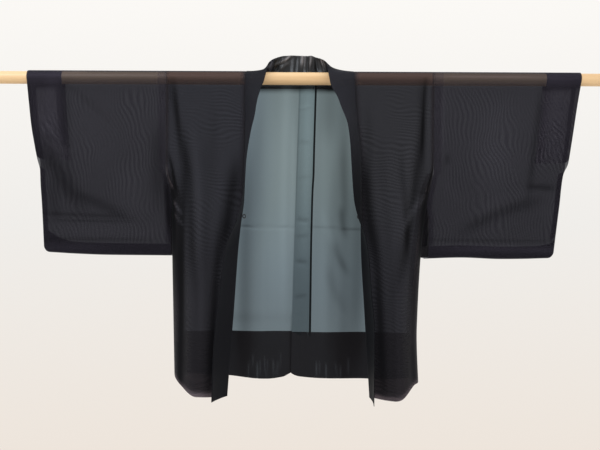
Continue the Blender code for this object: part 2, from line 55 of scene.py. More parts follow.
ROD_RADIUS = 15.0
CLOTH, TURNED, BAND, SEAM = 1.2, 1.0, 1.6, 0.3  # the walls, and the gap at a seam
SHOULDER_RADIUS = ROD_RADIUS + SEAM + TURNED + SEAM + CLOTH / 2  # cloth over the rod
LAID = CLOTH / 2 + SEAM + TURNED / 2  # from a panel's middle to an allowance laid on it
SLEEVE_SEAM_END = -222.0  # where the sleeve stops being sewn to the body
CUFF_END, CUFF_OPEN, CUFF_DEPTH = -219.0, -195.0, 82.0
SLEEVE_DEPTH, SLEEVE_FOOT, SLEEVE_CORNER = 415.0, 3.5, 14.0
SLEEVE_WAVE, WAVES, FOOT_DROP = 2.0, 9.0, 0.8
SEWN_HALF, PINCH = 2.3, 70.0  # half the space at the sewn edge, and how far in it draws together
GUSSET_TURN, GUSSET_GAP, GUSSET_START, TURN_SHARE = 7.0, 0.7, -266.0, 0.3
GUSSET_LEVEL, HEM_LEVEL, STRIP_SHARE = 0.376, 0.85, 0.6
NECK_DROP, NECK_INSET = -2.0, 22.0
FRONT_FOLD, BACK_EDGE_MIN, SEAM_RIDGE = 7.0, 9.0, 3.0

# Tables: one row of numbers for each level, place or crease, under the columns of its kind.


def rows(kind, text):
    return [kind(*map(float, line.split())) for line in text.strip().splitlines()]


def sided(kind, left, right):
    return {"left": rows(kind, left), "right": rows(kind, right)}


# Each level of a front: its side edge, the two points that shape its curve, and the edge that the
# collar is sewn to.
Front = namedtuple("Front", "z side_x side_y out_x out_y in_x in_y seam_x seam_y")
FRONTS = sided(Front, """
   0 -316.8 -17.2 -255 -17.2 -192 -17.2   -130 -17.2
 -90 -316.8 -14.2 -255   -19 -192   -23 -129.9   -20
-197 -316.8 -10.7 -268   -24 -195   -42 -129.5   -26
-222 -315.8  -9.8 -275   -28 -197   -47 -129.8   -28
-286   -303    -8 -286   -46 -200   -66 -131.3   -34
-353   -301   -15 -290   -66 -202   -92 -139.6   -42
-409 -299.5   -21 -290   -84 -205  -114 -144.6   -50
-540 -294.5   -33 -288  -108 -211  -146 -152.2   -65
-735   -287   -50 -282  -136 -222  -172 -165.1   -83
""", """
   0 316.3 -17.2 255 -17.2 192 -17.2 128.3 -17.2
 -90 316.3 -14.2 255   -19 194   -23 133.8   -20
-197 316.3 -10.7 272   -26 202   -44 144.6   -26
-222 315.3  -9.8 277   -31 204   -50 144.8   -28
-286   303    -8 284   -50 206   -72   145   -34
-353   293   -15 284   -70 205   -98 144.6   -42
-409   286   -21 280   -88 204  -116 145.5   -49
-540 276.5   -33 273  -112 210  -150 152.2   -65
-610 273.8   -39 270  -121 214  -159   156   -72
-735 277.5   -50 272  -138 222  -176 163.3   -83
""")

# Hem level under each place across, from the side edge at 0 to the middle or collar edge at 1.
Hem = namedtuple("Hem", "share z")
BACK_HEMS = sided(Hem, """
  0 -700
 .2 -704
.45 -709
.78 -716
.92 -712
  1 -702
""", """
  0 -711
 .3 -715
.75 -714
.92 -711
.98 -706
  1 -702
""")
FRONT_HEMS = sided(Hem, """
  0 -684
 .1 -693
.22 -700
.36 -712
.48 -721
 .6 -728
  1 -737
""", """
  0 -707
.25 -706
 .4 -715
 .6 -733
.72 -738
  1 -739
""")

# Middle of the back at each level: the centre seam swings to -X as it falls.
Middle = namedtuple("Middle", "z x")
CENTRE_BACK = rows(Middle, """
   0  -2
-250  -9
-600 -18
-720 -20
""")

# Free edge of the collar beside each level of the seam.
Edge = namedtuple("Edge", "seam_z x y z")
COLLAR_EDGES = sided(Edge, """
 -10    -91  -46  -26
 -50   -100  -57  -62
 -90   -105  -66  -96
-130   -113  -74 -133
-197 -122.4  -84 -200
-262 -125.7  -93 -265
-322 -137.6 -101 -325
-366 -155.4 -105 -369
-400 -167.4 -108 -403
-455 -174.9 -113 -458
-540   -183 -121 -544
-612   -190 -129 -618
-737   -193 -141 -741
""", """
 -10    76  -46  -30
 -40    87  -52  -50
 -70    96  -60  -76
-112   110  -70 -115
-160 115.7  -78 -163
-197 117.7  -84 -201
-286 123.4  -95 -288
-328   133 -101 -331
-371   149 -106 -374
-425   157 -112 -428
-487   161 -120 -491
-580   168 -132 -586
-739   166 -147 -747
""")

# The collar round the neck, from the front of the rod on the left to the front on the right: the
# seam, the free edge that stands up behind the rod, and how far the band bows out.
Neck = namedtuple("Neck", "row seam_x seam_y seam_z edge_x edge_y edge_z crown")
NECK = rows(Neck, """
 0   -130 -17.2         0 -86 -43  -16   4
 1 -129.5 -12.2      12.2 -80 -35   10   2
 2   -126     0      17.2 -77 -17   29 -10
 3 -114.5  12.2      12.4 -70   1   43 -16
 4   -105  17.4       1.5 -59  13 51.5 -10
 5    -80  17.4        -2 -43  22   57   0
 6    -40  17.6        -2 -21  26 59.5   1
 7      0  17.8        -2   2  27   59   1
 8     40  17.6        -2  25  26 58.5   1
 9     80  17.4        -2  43  20 53.5   1
10    103  17.4       1.5  56   9 45.5  -2
11  112.5  12.2      12.4  62  -6   37  -4
12  124.5     0      17.2  64 -22   25  -2
13    128 -12.2      12.2  67 -36    4   3
14  128.3 -17.2         0  71 -43  -18   5
""")
FRONT_CROWN = 2.5  # how far the collar bows out beside the fronts

# Puckers of the collar behind the neck.
Pucker = namedtuple("Pucker", "x width depth")
PUCKERS = rows(Pucker, """
-62 9  2.2
-41 7 -2.6
-25 6  2.4
 -9 7 -2.2
  8 6  2.6
 24 8 -2.4
 43 8  2.4
 62 9 -1.8
""")

# Soft vertical folds of the back: place across a half, width, depth to the front.
Fold = namedtuple("Fold", "share width depth")
BACK_FOLDS = rows(Fold, """
.16 .09 3.5
.42  .1  -4
.68 .09   3
 .9 .06  -2
""")

# Sleeve edges at each level, where the back layer's inner edge hangs closer to the body than the
# front layer's, and the bottom's level at each place across.
Sleeve = namedtuple("Sleeve", "z inner_x back_x outer_x")
SLEEVES = sided(Sleeve, """
   0 -317.1 -317.1   -646
 -60 -317.1 -317.1 -640.5
-115 -317.1 -317.1   -635
-170 -317.1 -317.1   -626
-222 -317.1 -317.1   -617
-252 -311.8 -311.4 -615.8
-290   -306 -305.2   -613
-340 -305.6 -303.6   -610
-420 -305.4 -302.2   -606
""", """
   0 316.6 316.6 664.5
 -60 316.6 316.6   655
-115 316.6 316.6 647.5
-170 316.6 316.6 639.7
-205 316.6 316.6   634
-226 316.5 316.4   626
-255   311 310.6 621.5
-290 307.4 304.4   618
-340 306.6 297.2   612
-420   306   289 602.5
""")
SLEEVE_BOTTOMS = sided(Hem, """
 0   -419
.5   -418
 1 -412.5
""", """
 0 -424
.3 -421
.6 -424
 1 -422
""")

# Creases: soft troughs and ridges pressed or hung into the cloth. Each runs from x0, z0 to x1, z1,
# bowed sideways by bow at its middle; depth is to the back. The last column is painted light: a
# painted highlight along the crease where it is above 0, and painted shade where it is below 0.
# Rows with depth 0 are painted light and shade alone, with no crease in the cloth.
Crease = namedtuple("Crease", "x0 z0 x1 z1 width depth bow tone", defaults=(0, 0))
FRONT_CREASES = sided(Crease, """
-306   20 -256  -250   9  4.5  4 -.55
-268 -150 -232  -520  11  4.5  3  -.6
-284  -30 -272  -230   7   -3  2  .12
-314 -235 -298  -385   8    0  0 -1.2
-311 -175 -286  -285 3.5    0  0 -1.1
-290 -724 -190  -730  10    0  0   .8
-298  -10 -274  -260   6    0  0 -.42
-271 -180 -268 -1000   7    0  0 -.55
-203  -60 -198  -330  14    0  0  -.3
-221 -420 -219  -760   8    0  0  .45
-299 -215 -290  -560   7    0  0 -1.2
-282 -230 -276  -520  11    0  0  -.8
-299 -290 -274  -326 3.5 -1.5  0  1.6
-296 -318 -270  -352 3.5 -1.5  0    1
-148 -190 -180  -440  16    0  0  -.8
-184 -340 -204  -800  10    0  0  -.5
-250 -130 -226  -480   9 -4.5 -6  .16
-226 -120 -210  -520  12  3.5 -5  -.2
-196  -60 -178  -420  16   -3  4  .12
-246 -430 -232  -790  11   -4  3  .16
-224 -380 -217  -790  10  3.5 -3  -.2
-272 -420 -262  -790   9    3 -3 -.35
""", """
298   30 290 -200   5    4   2  -.8
308   20 303 -230   4    0   0   .2
309 -262 299 -450   9    0   0 -1.2
330 -165 292 -295 3.5    0   0 -1.1
238 -180 250 -440   8    0   0 -.45
160  -60 164 -330  10    0   0 -.25
285   10 287 -260   8    0   0 -.35
286 -120 218 -500  11  5.5 -10 -.65
262 -120 206 -430  10   -3  -8  .14
310 -262 232 -366   8 -4.5   5   .6
296 -250 282 -560  14    0   0 -1.3
268 -269 318 -269 1.8   .6   0  -.8
146 -180 172 -440  14    0   0  -.8
174 -340 194 -800  10    0   0  -.5
186 -140 204 -470  15    3  -4  -.2
228 -440 226 -790  12   -4   3  .16
262 -430 258 -790  10    3  -2 -.35
208 -400 210 -790  10    3  -2 -.16
""")
BACK_CREASES = sided(Crease, """
-300 -215 -236 -430  15   -4  8
-250  -60 -238 -520  20    3 -6
 -30   60  -38 -620  14  1.5  2  .45
 -70 -330  -66 -660  18  2.5 -4  .12
 -58  -40  -62 -560  26    0  0   .3
 -15  -60  -18 -480   8    0  0   .4
-330 -570  300 -570  13    0  0  -.1
-122 -120 -128 -760  20 -2.5  5  -.4
 -92  -10  -98 -400  16   -2  3 -.12
 -84 -330  -84 -640   6   -1  3  .08
-178 -300 -172 -690  15    3  4
  20 -354 -180 -351 2.4  1.6  2  -.3
  20 -361 -180 -358   3   -1  2  .14
 -14 -300   -5 -640   7    2  0 -.16
 -17 -560  -18 -760 3.5    2  0  -.5
-118 -672 -122 -720 1.8  1.2  1  .66
-108 -652 -112 -700 1.6 -1.2  1  .57
-101 -674 -100 -724 2.2  1.2 -1  .95
 -92 -668  -95 -720 1.6 -1.2  0   .6
 -83 -658  -80 -706 1.8  1.2  1  .57
 -76 -670  -78 -718 1.4    1  0  .95
 -63 -668  -60 -716   2 -1.2 -1  .76
 -52 -672  -53 -716 1.5    1  0 1.14
 -44 -652  -46 -698 1.8  1.2  0  .47
""", """
298 -215 238  -440  15   -4 -8
246  -60 236  -540  20    3  6
142 -160 128  -720  24    3 -5  -.5
112  200 100 -1000  16    0  0  -.3
 78   60  66  -160  30    0  0  -.3
 22   20  10  -500  14    0  0   .5
100 -300 112  -380   9    0  4 -.25
 84 -380 120  -470   9    0  6 -.25
 92 -120  78  -700  14  2.5  4  -.2
 58    0  56  -640  10 -1.5  2   .1
104 -140 112  -360  11  1.5  2 -.18
 66 -440 112  -560  12  1.5  6 -.14
 50 -300  96  -420   9   -1  5   .1
196 -320 188  -690  14    3 -4
  0 -352 186  -362 2.4  1.6 -2 -.22
 41 -672  43  -716 1.6  1.2  0  .95
 50 -672  48  -712 1.8 -1.2  0  .57
 66 -676  64  -718 1.5    1  0  .95
 88 -676  92  -718   2  1.2  0  .57
101 -680 100  -716 1.6   -1  0  .76
120 -664 117  -708 2.4 -1.2  0  .47
""")
SLEEVE_CREASES = {
    FRONT: sided(Crease, """
-554   20 -546 -250   9    0  0  -.3
-600   20 -594 -190  30    0  0   .5
-616 -120 -506 -316  22   -3 14  -.6
-540 -275 -395 -342  13    3 -5  -.4
-566  -10 -440 -120   8  2.5 -4 -.14
-336 -100 -334 -320  17 -2.5  3  -.4
-316 -230 -306 -390   8    0  0 -1.2
-640 -322 -400 -330   5    0  0  -.4
-640 -383 -330 -384   4    0  0 -.35
-612   30 -600 -110  14    0  0  -.3
-594 -240 -574 -350  14    0  0 -.28
-311   60 -311 -320 1.6    0  0  .45
-720 -402 -440 -404   8    0  0   .4
-592 -340 -392 -341 2.6  1.2  0  -.4
-590 -362 -330 -364  17    0  0  .14
-410 -200 -385 -335  34  1.8  6  .16
-500  -60 -470 -220  40  1.8  8  .08
-600 -395 -350 -345  16    2 12
""", """
572    0 540 -300   8    0   0  -.5
534 -254 614 -258   8    0   0 -.55
612   20 600 -205  30    0   0  .35
376 -370 592 -284  14    3 -12 -.42
400 -330 580 -262  12   -3  -8  .12
470  -40 490 -270  56  1.8  10  .22
339   -8 336 -190 3.5   .6   0   .3
352 -178 346 -206   6  1.5   0  -.4
334 -236 400 -310  12 -2.5   4  .08
590 -262 598 -350  22   -2   0  .12
300 -402 720 -406   9    0   0  .65
250 -382 640 -384   4    0   0  -.3
440 -120 470 -380  40    0   0  .12
"""),
    BACK: sided(Crease, """
-304 -215 -301 -560 10    0 0 -1.3
-620 -140 -480 -380 22 -2.5 8
-400  -60 -380 -350 26    2 8
""", """
301 -236 297 -560 14    0 0 -1.3
620 -140 480 -380 22 -2.5 8
400  -60 380 -350 26    2 8
"""),
}
# The gathers of the collar's back: ridges with painted highlights along them, and the troughs
# between them with painted shade.
NECK_CREASES = rows(Crease, """
-82 22 -66 44 2.6   -3  3   2
-74 10 -66 34 2.2   -2 -2 1.5
-66 34 -14 66 3.6 -3.5  3 1.7
-52 22 -24 46 4.5 -2.5  0 1.3
-38 42 -22 64   3   -2  0 1.2
  3 26   6 88   4 -3.5  1 2.2
 10 20  13 70 1.6   -2  0 1.2
 22 24  27 80 3.2   -3  1 1.8
 42 64  56 22 1.8   -3 -2 2.2
 50 62  63 18 1.6 -2.5  0 1.9
 55 26  70  8 2.2   -2  2 1.5
-66  8 -44 56   3    3  0 -.5
-12 10  -8 70   4    3  0 -.9
 17 10  18 70   2    3  0 -.8
 35 66  42 12 3.8    3  0 -.7
-50 62  40 62   3   -1  0  .7
""")
# Small wrinkles across the centre seam's allowance, with painted highlights and painted shade along
# them.
STRIP_CREASES = rows(Crease, """
 -6  -66 30  -60 3.5 -1.4 0  .16
 -6  -72 30  -66   3  1.2 0 -.12
 -6 -148 30 -150   5  1.4 0 -.14
 -8 -236 28 -230   4  1.2 0  -.1
 -8 -332 26 -338   5  1.6 0  -.2
-10 -344 24 -346 3.5 -1.4 0  .16
-10 -376 24 -372 4.5  1.4 0 -.16
-10 -432 22 -438   5  1.4 0 -.22
-12 -446 20 -444   3 -1.2 0  .14
-12 -520 20 -516   5  1.2 0 -.16
""")
# Painted highlights on the sleeves, in streaks along the rod where they stretch over it.
ROD_PAINTED_HIGHLIGHTS = rows(Crease, """
-775  6 -110  6 1.8 0 1 .55
 300  4  610  5 2.4 0 1  .6
-600 12 -500 11 1.2 0 0  .5
""")

# Curves and small helpers. Places may be single numbers or whole arrays of them.


def at(table, place):
    """The table's columns where its first column is at place, on curves that never overshoot."""
    values = np.array(sorted(table))
    keys = values[:, 0]
    steps = np.diff(values, axis=0) / np.diff(keys)[:, None]
    before, after = steps[:-1], steps[1:]
    total = np.where(before + after == 0, 1.0, before + after)
    turning = np.where(before * after > 0, 2 * before * after / total, 0.0)
    slopes = np.concatenate((steps[:1], turning, steps[-1:]))
    place = np.clip(place, keys[0], keys[-1])
    i = np.clip(np.searchsorted(keys, place, side="right") - 1, 0, len(keys) - 2)
    span = keys[i + 1] - keys[i]
    t = (place - keys[i]) / span
    low, high = t**2 * (3 - 2 * t), (t**3 - 2 * t**2 + t, t**3 - t**2)
    columns = [
        mix(v[i], v[i + 1], low) + span * (s[i] * high[0] + s[i + 1] * high[1])
        for v, s in zip(values.T, slopes.T)
    ]
    return type(table[0])(*columns)


def ease(low, high, value):
    """0 up to low, 1 past high, and a smooth rise between."""
    t = np.clip((value - low) / (high - low), 0.0, 1.0)
    return t * t * (3 - 2 * t)


def mix(a, b, t):
    return a + (b - a) * t


def hill(distance, width):
    return np.exp(-((distance / width) ** 2))


def sign(side):
    return -1 if side == "left" else 1


def down(first, last, count):
    """Levels from first to last as a column, which makes a grid with places across."""
    return np.linspace(first, last, count)[:, None]


def stations(first, *runs):
    """Places from first on through the runs, each given as its end and its number of steps."""
    places = [[first]]
    for last, steps in runs:
        places.append(np.linspace(places[-1][-1], last, steps + 1)[1:])
    return np.concatenate(places)


def points_at(x, y, z):
    return np.stack(np.broadcast_arrays(x, y, z), axis=-1).astype(float)


def unit(vectors):
    return vectors / np.maximum(np.linalg.norm(vectors, axis=-1, keepdims=True), 1e-9)


def lengths_along(points, axis=0):
    """How far each point lies along its line."""
    steps = np.linalg.norm(np.diff(points, axis=axis), axis=-1)
    return np.insert(np.cumsum(steps, axis=axis), 0, 0, axis=axis)


def normals_of(grid):
    """Unit normals of a grid of points, rows x columns."""
    return unit(np.cross(np.gradient(grid, axis=1), np.gradient(grid, axis=0)))


def moved_inside(grid, off, face):
    """A grid moved off along its normals, into the garment from a layer on that face."""
    normals = normals_of(grid)
    return grid + normals * np.copysign(off, -normals[..., 1:2] * face)


def along_creases(points, creases, amount):
    """The sum of the creases' depth, or of their painted light and shade, at each point."""
    x, z = points[..., 0], points[..., 2]
    total = np.zeros(x.shape)
    for c in creases:
        run_x, run_z = c.x1 - c.x0, c.z1 - c.z0
        length = math.hypot(run_x, run_z)
        along = ((x - c.x0) * run_x + (z - c.z0) * run_z) / length**2
        aside = ((x - c.x0) * run_z - (z - c.z0) * run_x) / length
        t = np.clip(along, 0, 1)
        fade = ease(-0.12, 0.3, along) * (1 - ease(0.62, 1.12, along))
        total = total + getattr(c, amount) * hill(aside - c.bow * 4 * t * (1 - t), c.width) * fade
    return total


def pressed(points, creases):
    """The points with the creases pressed into them along Y."""
    return points + along_creases(points, creases, "depth")[..., None] * np.array([0, 1, 0])


# The creases' painted highlights and painted shade at each point.
def painted_light_on(points, creases):
    return along_creases(points, creases, "tone")

# The body's cloth. level is 0 at the rod and 1 at the hem, and share is 0 at the side edge.


def layer_half(z):
    """Half the space between the front and back layers at the sleeve seam."""
    return mix(SHOULDER_RADIUS, SLEEVE_FOOT, np.clip(-z / SLEEVE_DEPTH, 0.0, 1.0))


def front_point(side, share, z):
    """Points of a front, from its side edge to the collar seam at share 1."""
    t, s, front = share, 1 - share, at(FRONTS[side], z)
    curve = (s**3, 3 * s * s * t, 3 * s * t * t, t**3)
    x, y = (sum(k * v for k, v in zip(curve, values)) for values in (front[1::2], front[2::2]))
    folds = hill(share - 0.36, 0.1) - hill(share - 0.62, 0.11)
    return points_at(x, y + FRONT_FOLD * ease(180, 330, -z) * folds, z)


def back_side_x(side, z):
    turn = ease(-SLEEVE_SEAM_END, -GUSSET_START, -z)
    return at(FRONTS[side], z).side_x - sign(side) * turn * (GUSSET_TURN + SEAM)


def back_side_y(z):
    return np.maximum(layer_half(z), BACK_EDGE_MIN)


def back_point(side, share, z):
    """Points of the back, from its side edge to the centre seam at share 1."""
    x = mix(back_side_x(side, z), at(CENTRE_BACK, z).x, share)
    y = mix(back_side_y(z), SHOULDER_RADIUS + 0.4, ease(0, 0.45, share))
    for fold in BACK_FOLDS:
        y = y - fold.depth * hill(share - fold.share, fold.width) * ease(60, 420, -z)
    y = y + SEAM_RIDGE * hill(share - 1, 0.05) * ease(300, 650, -z)
    return points_at(x, y, z)


def neck_inset(share, angle):
    """How far the cloth over the rod leans to the neck, which is wider in front than behind."""
    return NECK_INSET * ease(0.55, 1, share) * ease(0.35 * math.pi, math.pi, angle)


def shoulder_point(side, share, angle):
    """Cloth over the rod: angle 0 is at the front, pi at the back."""
    x = front_point(side, share, 0.0)[..., 0] - sign(side) * neck_inset(share, angle)
    return points_at(x, -SHOULDER_RADIUS * np.cos(angle), SHOULDER_RADIUS * np.sin(angle))


def gusset_point(side, share, z):
    """The gusset, from the back's edge at share 0 round to the front's edge at 1."""
    front, back_y = at(FRONTS[side], z), back_side_y(z)
    turn = np.clip(share / TURN_SHARE, 0, 1) * math.pi / 2
    onward = np.clip((share - TURN_SHARE) / (1 - TURN_SHARE), 0, 1)
    x = front.side_x - sign(side) * GUSSET_TURN * (1 - np.sin(turn))
    turned = back_y - GUSSET_TURN * (1 - np.cos(turn))
    flat = mix(back_y - GUSSET_TURN, front.side_y + GUSSET_GAP, onward)
    return points_at(x, np.where(share < TURN_SHARE, turned, flat), z)


def front_cloth(side, level, share):
    """Points of a front, with its creases."""
    z = level * at(FRONT_HEMS[side], share).z
    cloth = pressed(front_point(side, share, z), FRONT_CREASES[side])
    cloth[..., 1] = mix(-SHOULDER_RADIUS, cloth[..., 1], ease(0, 0.04, level))
    return cloth


def back_cloth(side, level, share):
    """Points of a half of the back, with its creases."""
    top = mix(0.0, NECK_DROP - SEAM, ease(STRIP_SHARE, STRIP_SHARE + 0.1, share))
    z = mix(top, at(BACK_HEMS[side], share).z, level)
    cloth = pressed(back_point(side, share, z), BACK_CREASES[side])
    under_strip = np.clip(share / STRIP_SHARE, 0, 1)
    inset = neck_inset(under_strip, math.pi) * (1 - ease(STRIP_SHARE, STRIP_SHARE + 0.25, share))
    cloth[..., 0] -= sign(side) * inset * (1 - ease(0, 38, -z))
    cloth[..., 1] = mix(SHOULDER_RADIUS, cloth[..., 1], ease(0, 0.04, level))
    return cloth


PANELS = {FRONT: (front_cloth, FRONT_HEMS), BACK: (back_cloth, BACK_HEMS)}


# Materials. Every one is made of nodes alone.


class Shader:
    """The nodes of a material or a world, with short calls to add and join them."""

    def __init__(self, owner, kind="Material"):
        self.owner = owner
        owner.use_nodes = True
        self.tree = owner.node_tree
        self.tree.nodes.clear()
        self.output = self.tree.nodes.new("ShaderNodeOutput" + kind)

    def node(self, kind, settings=None, **inputs):
        """A node of that kind, whose inputs are numbers, colours or other nodes' outputs."""
        made = self.tree.nodes.new("ShaderNode" + kind)
        for key, value in (settings or {}).items():
            setattr(made, key, value)
        for key, value in inputs.items():
            numbered = key[0] == "i" and key[1:].isdigit()
            socket = made.inputs[int(key[1:]) if numbered else key.replace("_", " ")]
            if isinstance(value, bpy.types.NodeSocket):
                self.tree.links.new(value, socket)
            else:
                socket.default_value = value
        return made.outputs[0]

    def place(self, kind="Object"):
        return self.node("TexCoord").node.outputs[kind]

    def attribute(self, name):
        """The outputs of one of the sheet's attributes."""
        return self.node("Attribute", {"attribute_name": name}).node.outputs

    def maths(self, operation, a, b=0.0, c=0.0):
        return self.node("Math", {"operation": operation}, i0=a, i1=b, i2=c)

    def ramp(self, factor, low, high):
        """0 where factor is at low, 1 where it is at high, and straight between."""
        return self.node("MapRange", {"clamp": True}, Value=factor, From_Min=low, From_Max=high)

    def noise(self, vector, scale, detail, **inputs):
        return self.node("TexNoise", Vector=vector, Scale=scale, Detail=detail, **inputs)

    def colours(self, factor, first, second, blend="MIX"):
        settings = {"data_type": "RGBA", "blend_type": blend}
        return self.node("Mix", settings, i0=factor, i6=first, i7=second).node.outputs[2]

    def finish(self, surface):
        self.tree.links.new(surface, self.output.inputs["Surface"])
        return self.owner


def shader(name):
    return Shader(bpy.data.materials.new(name))


def rgb(red, green, blue):
    return (red, green, blue, 1.0)


WARP_PITCH, WEFT_PITCH = 1.15, 0.85  # from thread to thread
THREAD_SHARE = 0.75  # the mean of the thread pattern
COOL_GLOSS, COOL_SHEEN = rgb(0.86, 0.92, 1.0), rgb(0.8, 0.88, 1.0)
MOIRE_SIZE = 9.0  # noise features to the metre, which bend the moire's lines into loops
MOIRE_PATCHES = 14.0  # noise features to the metre, which let the lines come and go
# How many moire lines there are to the metre along X and Z, and how far the noise bends them.
Moire = namedtuple("Moire", "along_x along_z bend strength")
SLEEVE_MOIRE = Moire(112, 20, 9, 0.05)
FRONT_MOIRE = Moire(22, 118, 9, 0.040)
CUFF_MOIRE = Moire(96, 40, 12, 0.22)
NO_MOIRE = Moire(0, 0, 0, 0)


def thread_pattern(s, across, along):
    """0 in the gauze's little holes and 1 on its threads."""
    waves = []
    for place, pitch in ((across, WARP_PITCH), (along, WEFT_PITCH)):
        turn = s.maths("MULTIPLY", place, 2 * math.pi / pitch)
        waves.append(s.maths("MULTIPLY_ADD", s.maths("COSINE", turn), 0.5, 0.5))
    return s.maths("SUBTRACT", 1.0, s.maths("MULTIPLY", *waves))


def moire_lines(s, moire):
    """Fine looping lines, where one layer of gauze lies over another."""
    place = s.place()
    noise = s.noise(place, MOIRE_SIZE, 1.6, Roughness=0.45)
    x, _, z = s.node("SeparateXYZ", Vector=place).node.outputs
    straight = s.maths("MULTIPLY_ADD", x, moire.along_x, s.maths("MULTIPLY", z, moire.along_z))
    lines = s.maths("MULTIPLY_ADD", noise, moire.bend, straight)
    patches = s.ramp(s.noise(place, MOIRE_PATCHES, 1.0), 0.28, 0.55)
    return s.maths("MULTIPLY", s.maths("SINE", s.maths("MULTIPLY", lines, 2 * math.pi)), patches)


def gauze(
    name, passes, own, cover, moire=NO_MOIRE, bluer=None, shine=0.045, sheen=0.016, rough=0.6
):
    """Sheer cloth. passes tints the light that comes through, own is the threads' colour and
    cover their share of the cloth. Each sheet's weave attribute holds the place across and along
    it, and either how strong the moire is there or how far passes gives way to bluer. close is
    how far the threads crowd together, which the painted light and shade also move, and lift is
    painted light and shade, by which the threads' colour is multiplied."""
    s = shader(name)
    weave = s.attribute("weave")[0]
    across, along, strength = s.node("SeparateXYZ", Vector=weave).node.outputs
    threads = s.maths("SUBTRACT", thread_pattern(s, across, along), THREAD_SHARE)
    even = s.maths("MULTIPLY_ADD", threads, 0.3 * (1 - cover), cover)
    if moire.strength:
        strong = s.maths("MULTIPLY", strength, moire.strength)
        even = s.maths("ADD", even, s.maths("MULTIPLY", moire_lines(s, moire), strong))
    apart = s.maths("SUBTRACT", 1.0, s.attribute("close")["Fac"])
    open_share = s.maths("MULTIPLY", s.maths("SUBTRACT", 1.0, even), apart)
    # The threads' colour, with lift's painted light and shade multiplied in.
    colour = s.colours(1.0, rgb(*own), s.attribute("lift")["Fac"], "MULTIPLY")
    cloth = s.node(
        "BsdfPrincipled", Base_Color=colour, Roughness=rough, Specular_IOR_Level=shine,
        Specular_Tint=COOL_GLOSS, Sheen_Weight=sheen, Sheen_Roughness=0.5, Sheen_Tint=COOL_SHEEN,
    )
    tint = s.colours(strength, rgb(*passes), rgb(*bluer)) if bluer else rgb(*passes)
    through = s.node("BsdfTransparent", Color=tint)
    return s.finish(s.node("MixShader", i0=open_share, i1=cloth, i2=through))


PLAIN = (1.0, 1.0, 1.0)
GAUZE = gauze("gauze", (0.93, 0.96, 1.0), (0.0106, 0.0096, 0.0142), 0.864, SLEEVE_MOIRE)
GAUZE_FRONT = gauze(
    "gauze of the fronts", (0.96, 0.8, 0.88), (0.0099, 0.0094, 0.0116), 0.885, FRONT_MOIRE
)
# Painted light: the back is the fronts' gauze, more open, with the light through it tinted teal,
# and bluer still where the back turns from the light.
GAUZE_BACK = gauze(
    "gauze of the back", (0.72, 0.93, 0.99), (0.0085, 0.009, 0.011), 0.775, bluer=(0.63, 0.84, 1.0)
)
GAUZE_TURNED = gauze(
    "gauze turned in", (1.0, 0.97, 1.0), (0.0094, 0.0088, 0.0104), 0.5, CUFF_MOIRE
)
GAUZE_STRIP = gauze("gauze of the centre seam", (0.93, 0.98, 1.0), (0.006, 0.008, 0.009), 0.07)
GAUZE_BAND = gauze("gauze of the collar", PLAIN, (0.0084, 0.0086, 0.0112), 0.95)
SATIN_BAND = gauze(
    "satin of the collar's back", PLAIN, (0.009, 0.0085, 0.0088), 1.0, shine=0.35, rough=0.34
)
WOOD_PALE, WOOD_DEEP = rgb(0.84, 0.60, 0.34), rgb(0.68, 0.44, 0.22)
WOOD_FIBRE = rgb(0.36, 0.22, 0.11)


def wood():
    """Pale planed wood, with its grain along X and faint growth bands."""
    s = shader("planed wood")
    place = s.place()
    drawn = s.node("Mapping", Vector=place, Scale=(1.6, 42.0, 42.0))
    bands = s.noise(drawn, 1.0, 4.0, Roughness=0.55, Distortion=0.6)
    fibres = s.node("Mapping", Vector=place, Scale=(14.0, 900.0, 900.0))
    fine = s.noise(fibres, 1.0, 3.0, Roughness=0.6)
    colour = s.colours(s.ramp(bands, 0.32, 0.7), WOOD_PALE, WOOD_DEEP)
    colour = s.colours(s.maths("MULTIPLY", fine, 0.22), colour, WOOD_FIBRE)
    bump = s.node("Bump", Strength=0.12, Distance=0.0004, Height=fine)
    gloss = s.maths("MULTIPLY_ADD", bands, 0.16, 0.36)
    return s.finish(s.node("BsdfPrincipled", Base_Color=colour, Roughness=gloss, Normal=bump))


def twisted_cord():
    """Dark silk cord for the loops, with the shade of its twist."""
    s = shader("cord")
    diagonal = {"bands_direction": "DIAGONAL"}
    twist = s.node("TexWave", diagonal, Vector=s.place(), Scale=420.0, Distortion=1.5)
    colour = s.colours(twist, rgb(0.006, 0.006, 0.008), rgb(0.022, 0.022, 0.028))
    bump = s.node("Bump", Strength=0.4, Distance=0.0003, Height=twist)
    return s.finish(s.node("BsdfPrincipled", Base_Color=colour, Roughness=0.5, Normal=bump))


def silk_thread():
    """Dark thread for the stitches, a little lighter and darker at random along its fibres."""
    s = shader("silk thread")
    fibres = s.noise(s.place(), 1500.0, 2.0, Roughness=0.6)
    colour = s.colours(fibres, rgb(0.010, 0.010, 0.014), rgb(0.045, 0.045, 0.058))
    return s.finish(s.node("BsdfPrincipled", Base_Color=colour, Roughness=0.45))


# Making meshes.


def place_in_scene(name, data, location=(0, 0, 0), turned=(0, 0, 0)):
    made = bpy.data.objects.new(name, data)
    made.location, made.rotation_euler = location, turned
    bpy.context.scene.collection.objects.link(made)
    return made


def piece(name, points, faces, finish):
    """A mesh through points in millimetres, riding on the root."""
    mesh = bpy.data.meshes.new(name)
    mesh.from_pydata((np.array(points) * MM).tolist(), [], faces)
    mesh.materials.append(finish)
    made = place_in_scene(name, mesh)
    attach(made, "root")
    return made


def spread(values, blocks):
    """One number for each point of the blocks, from values for each block or one for them all."""
    values = values if isinstance(values, tuple) else (values,) * len(blocks)
    flat = [np.broadcast_to(v, b.shape[:2]).ravel() for v, b in zip(values, blocks)]
    return np.concatenate(flat)


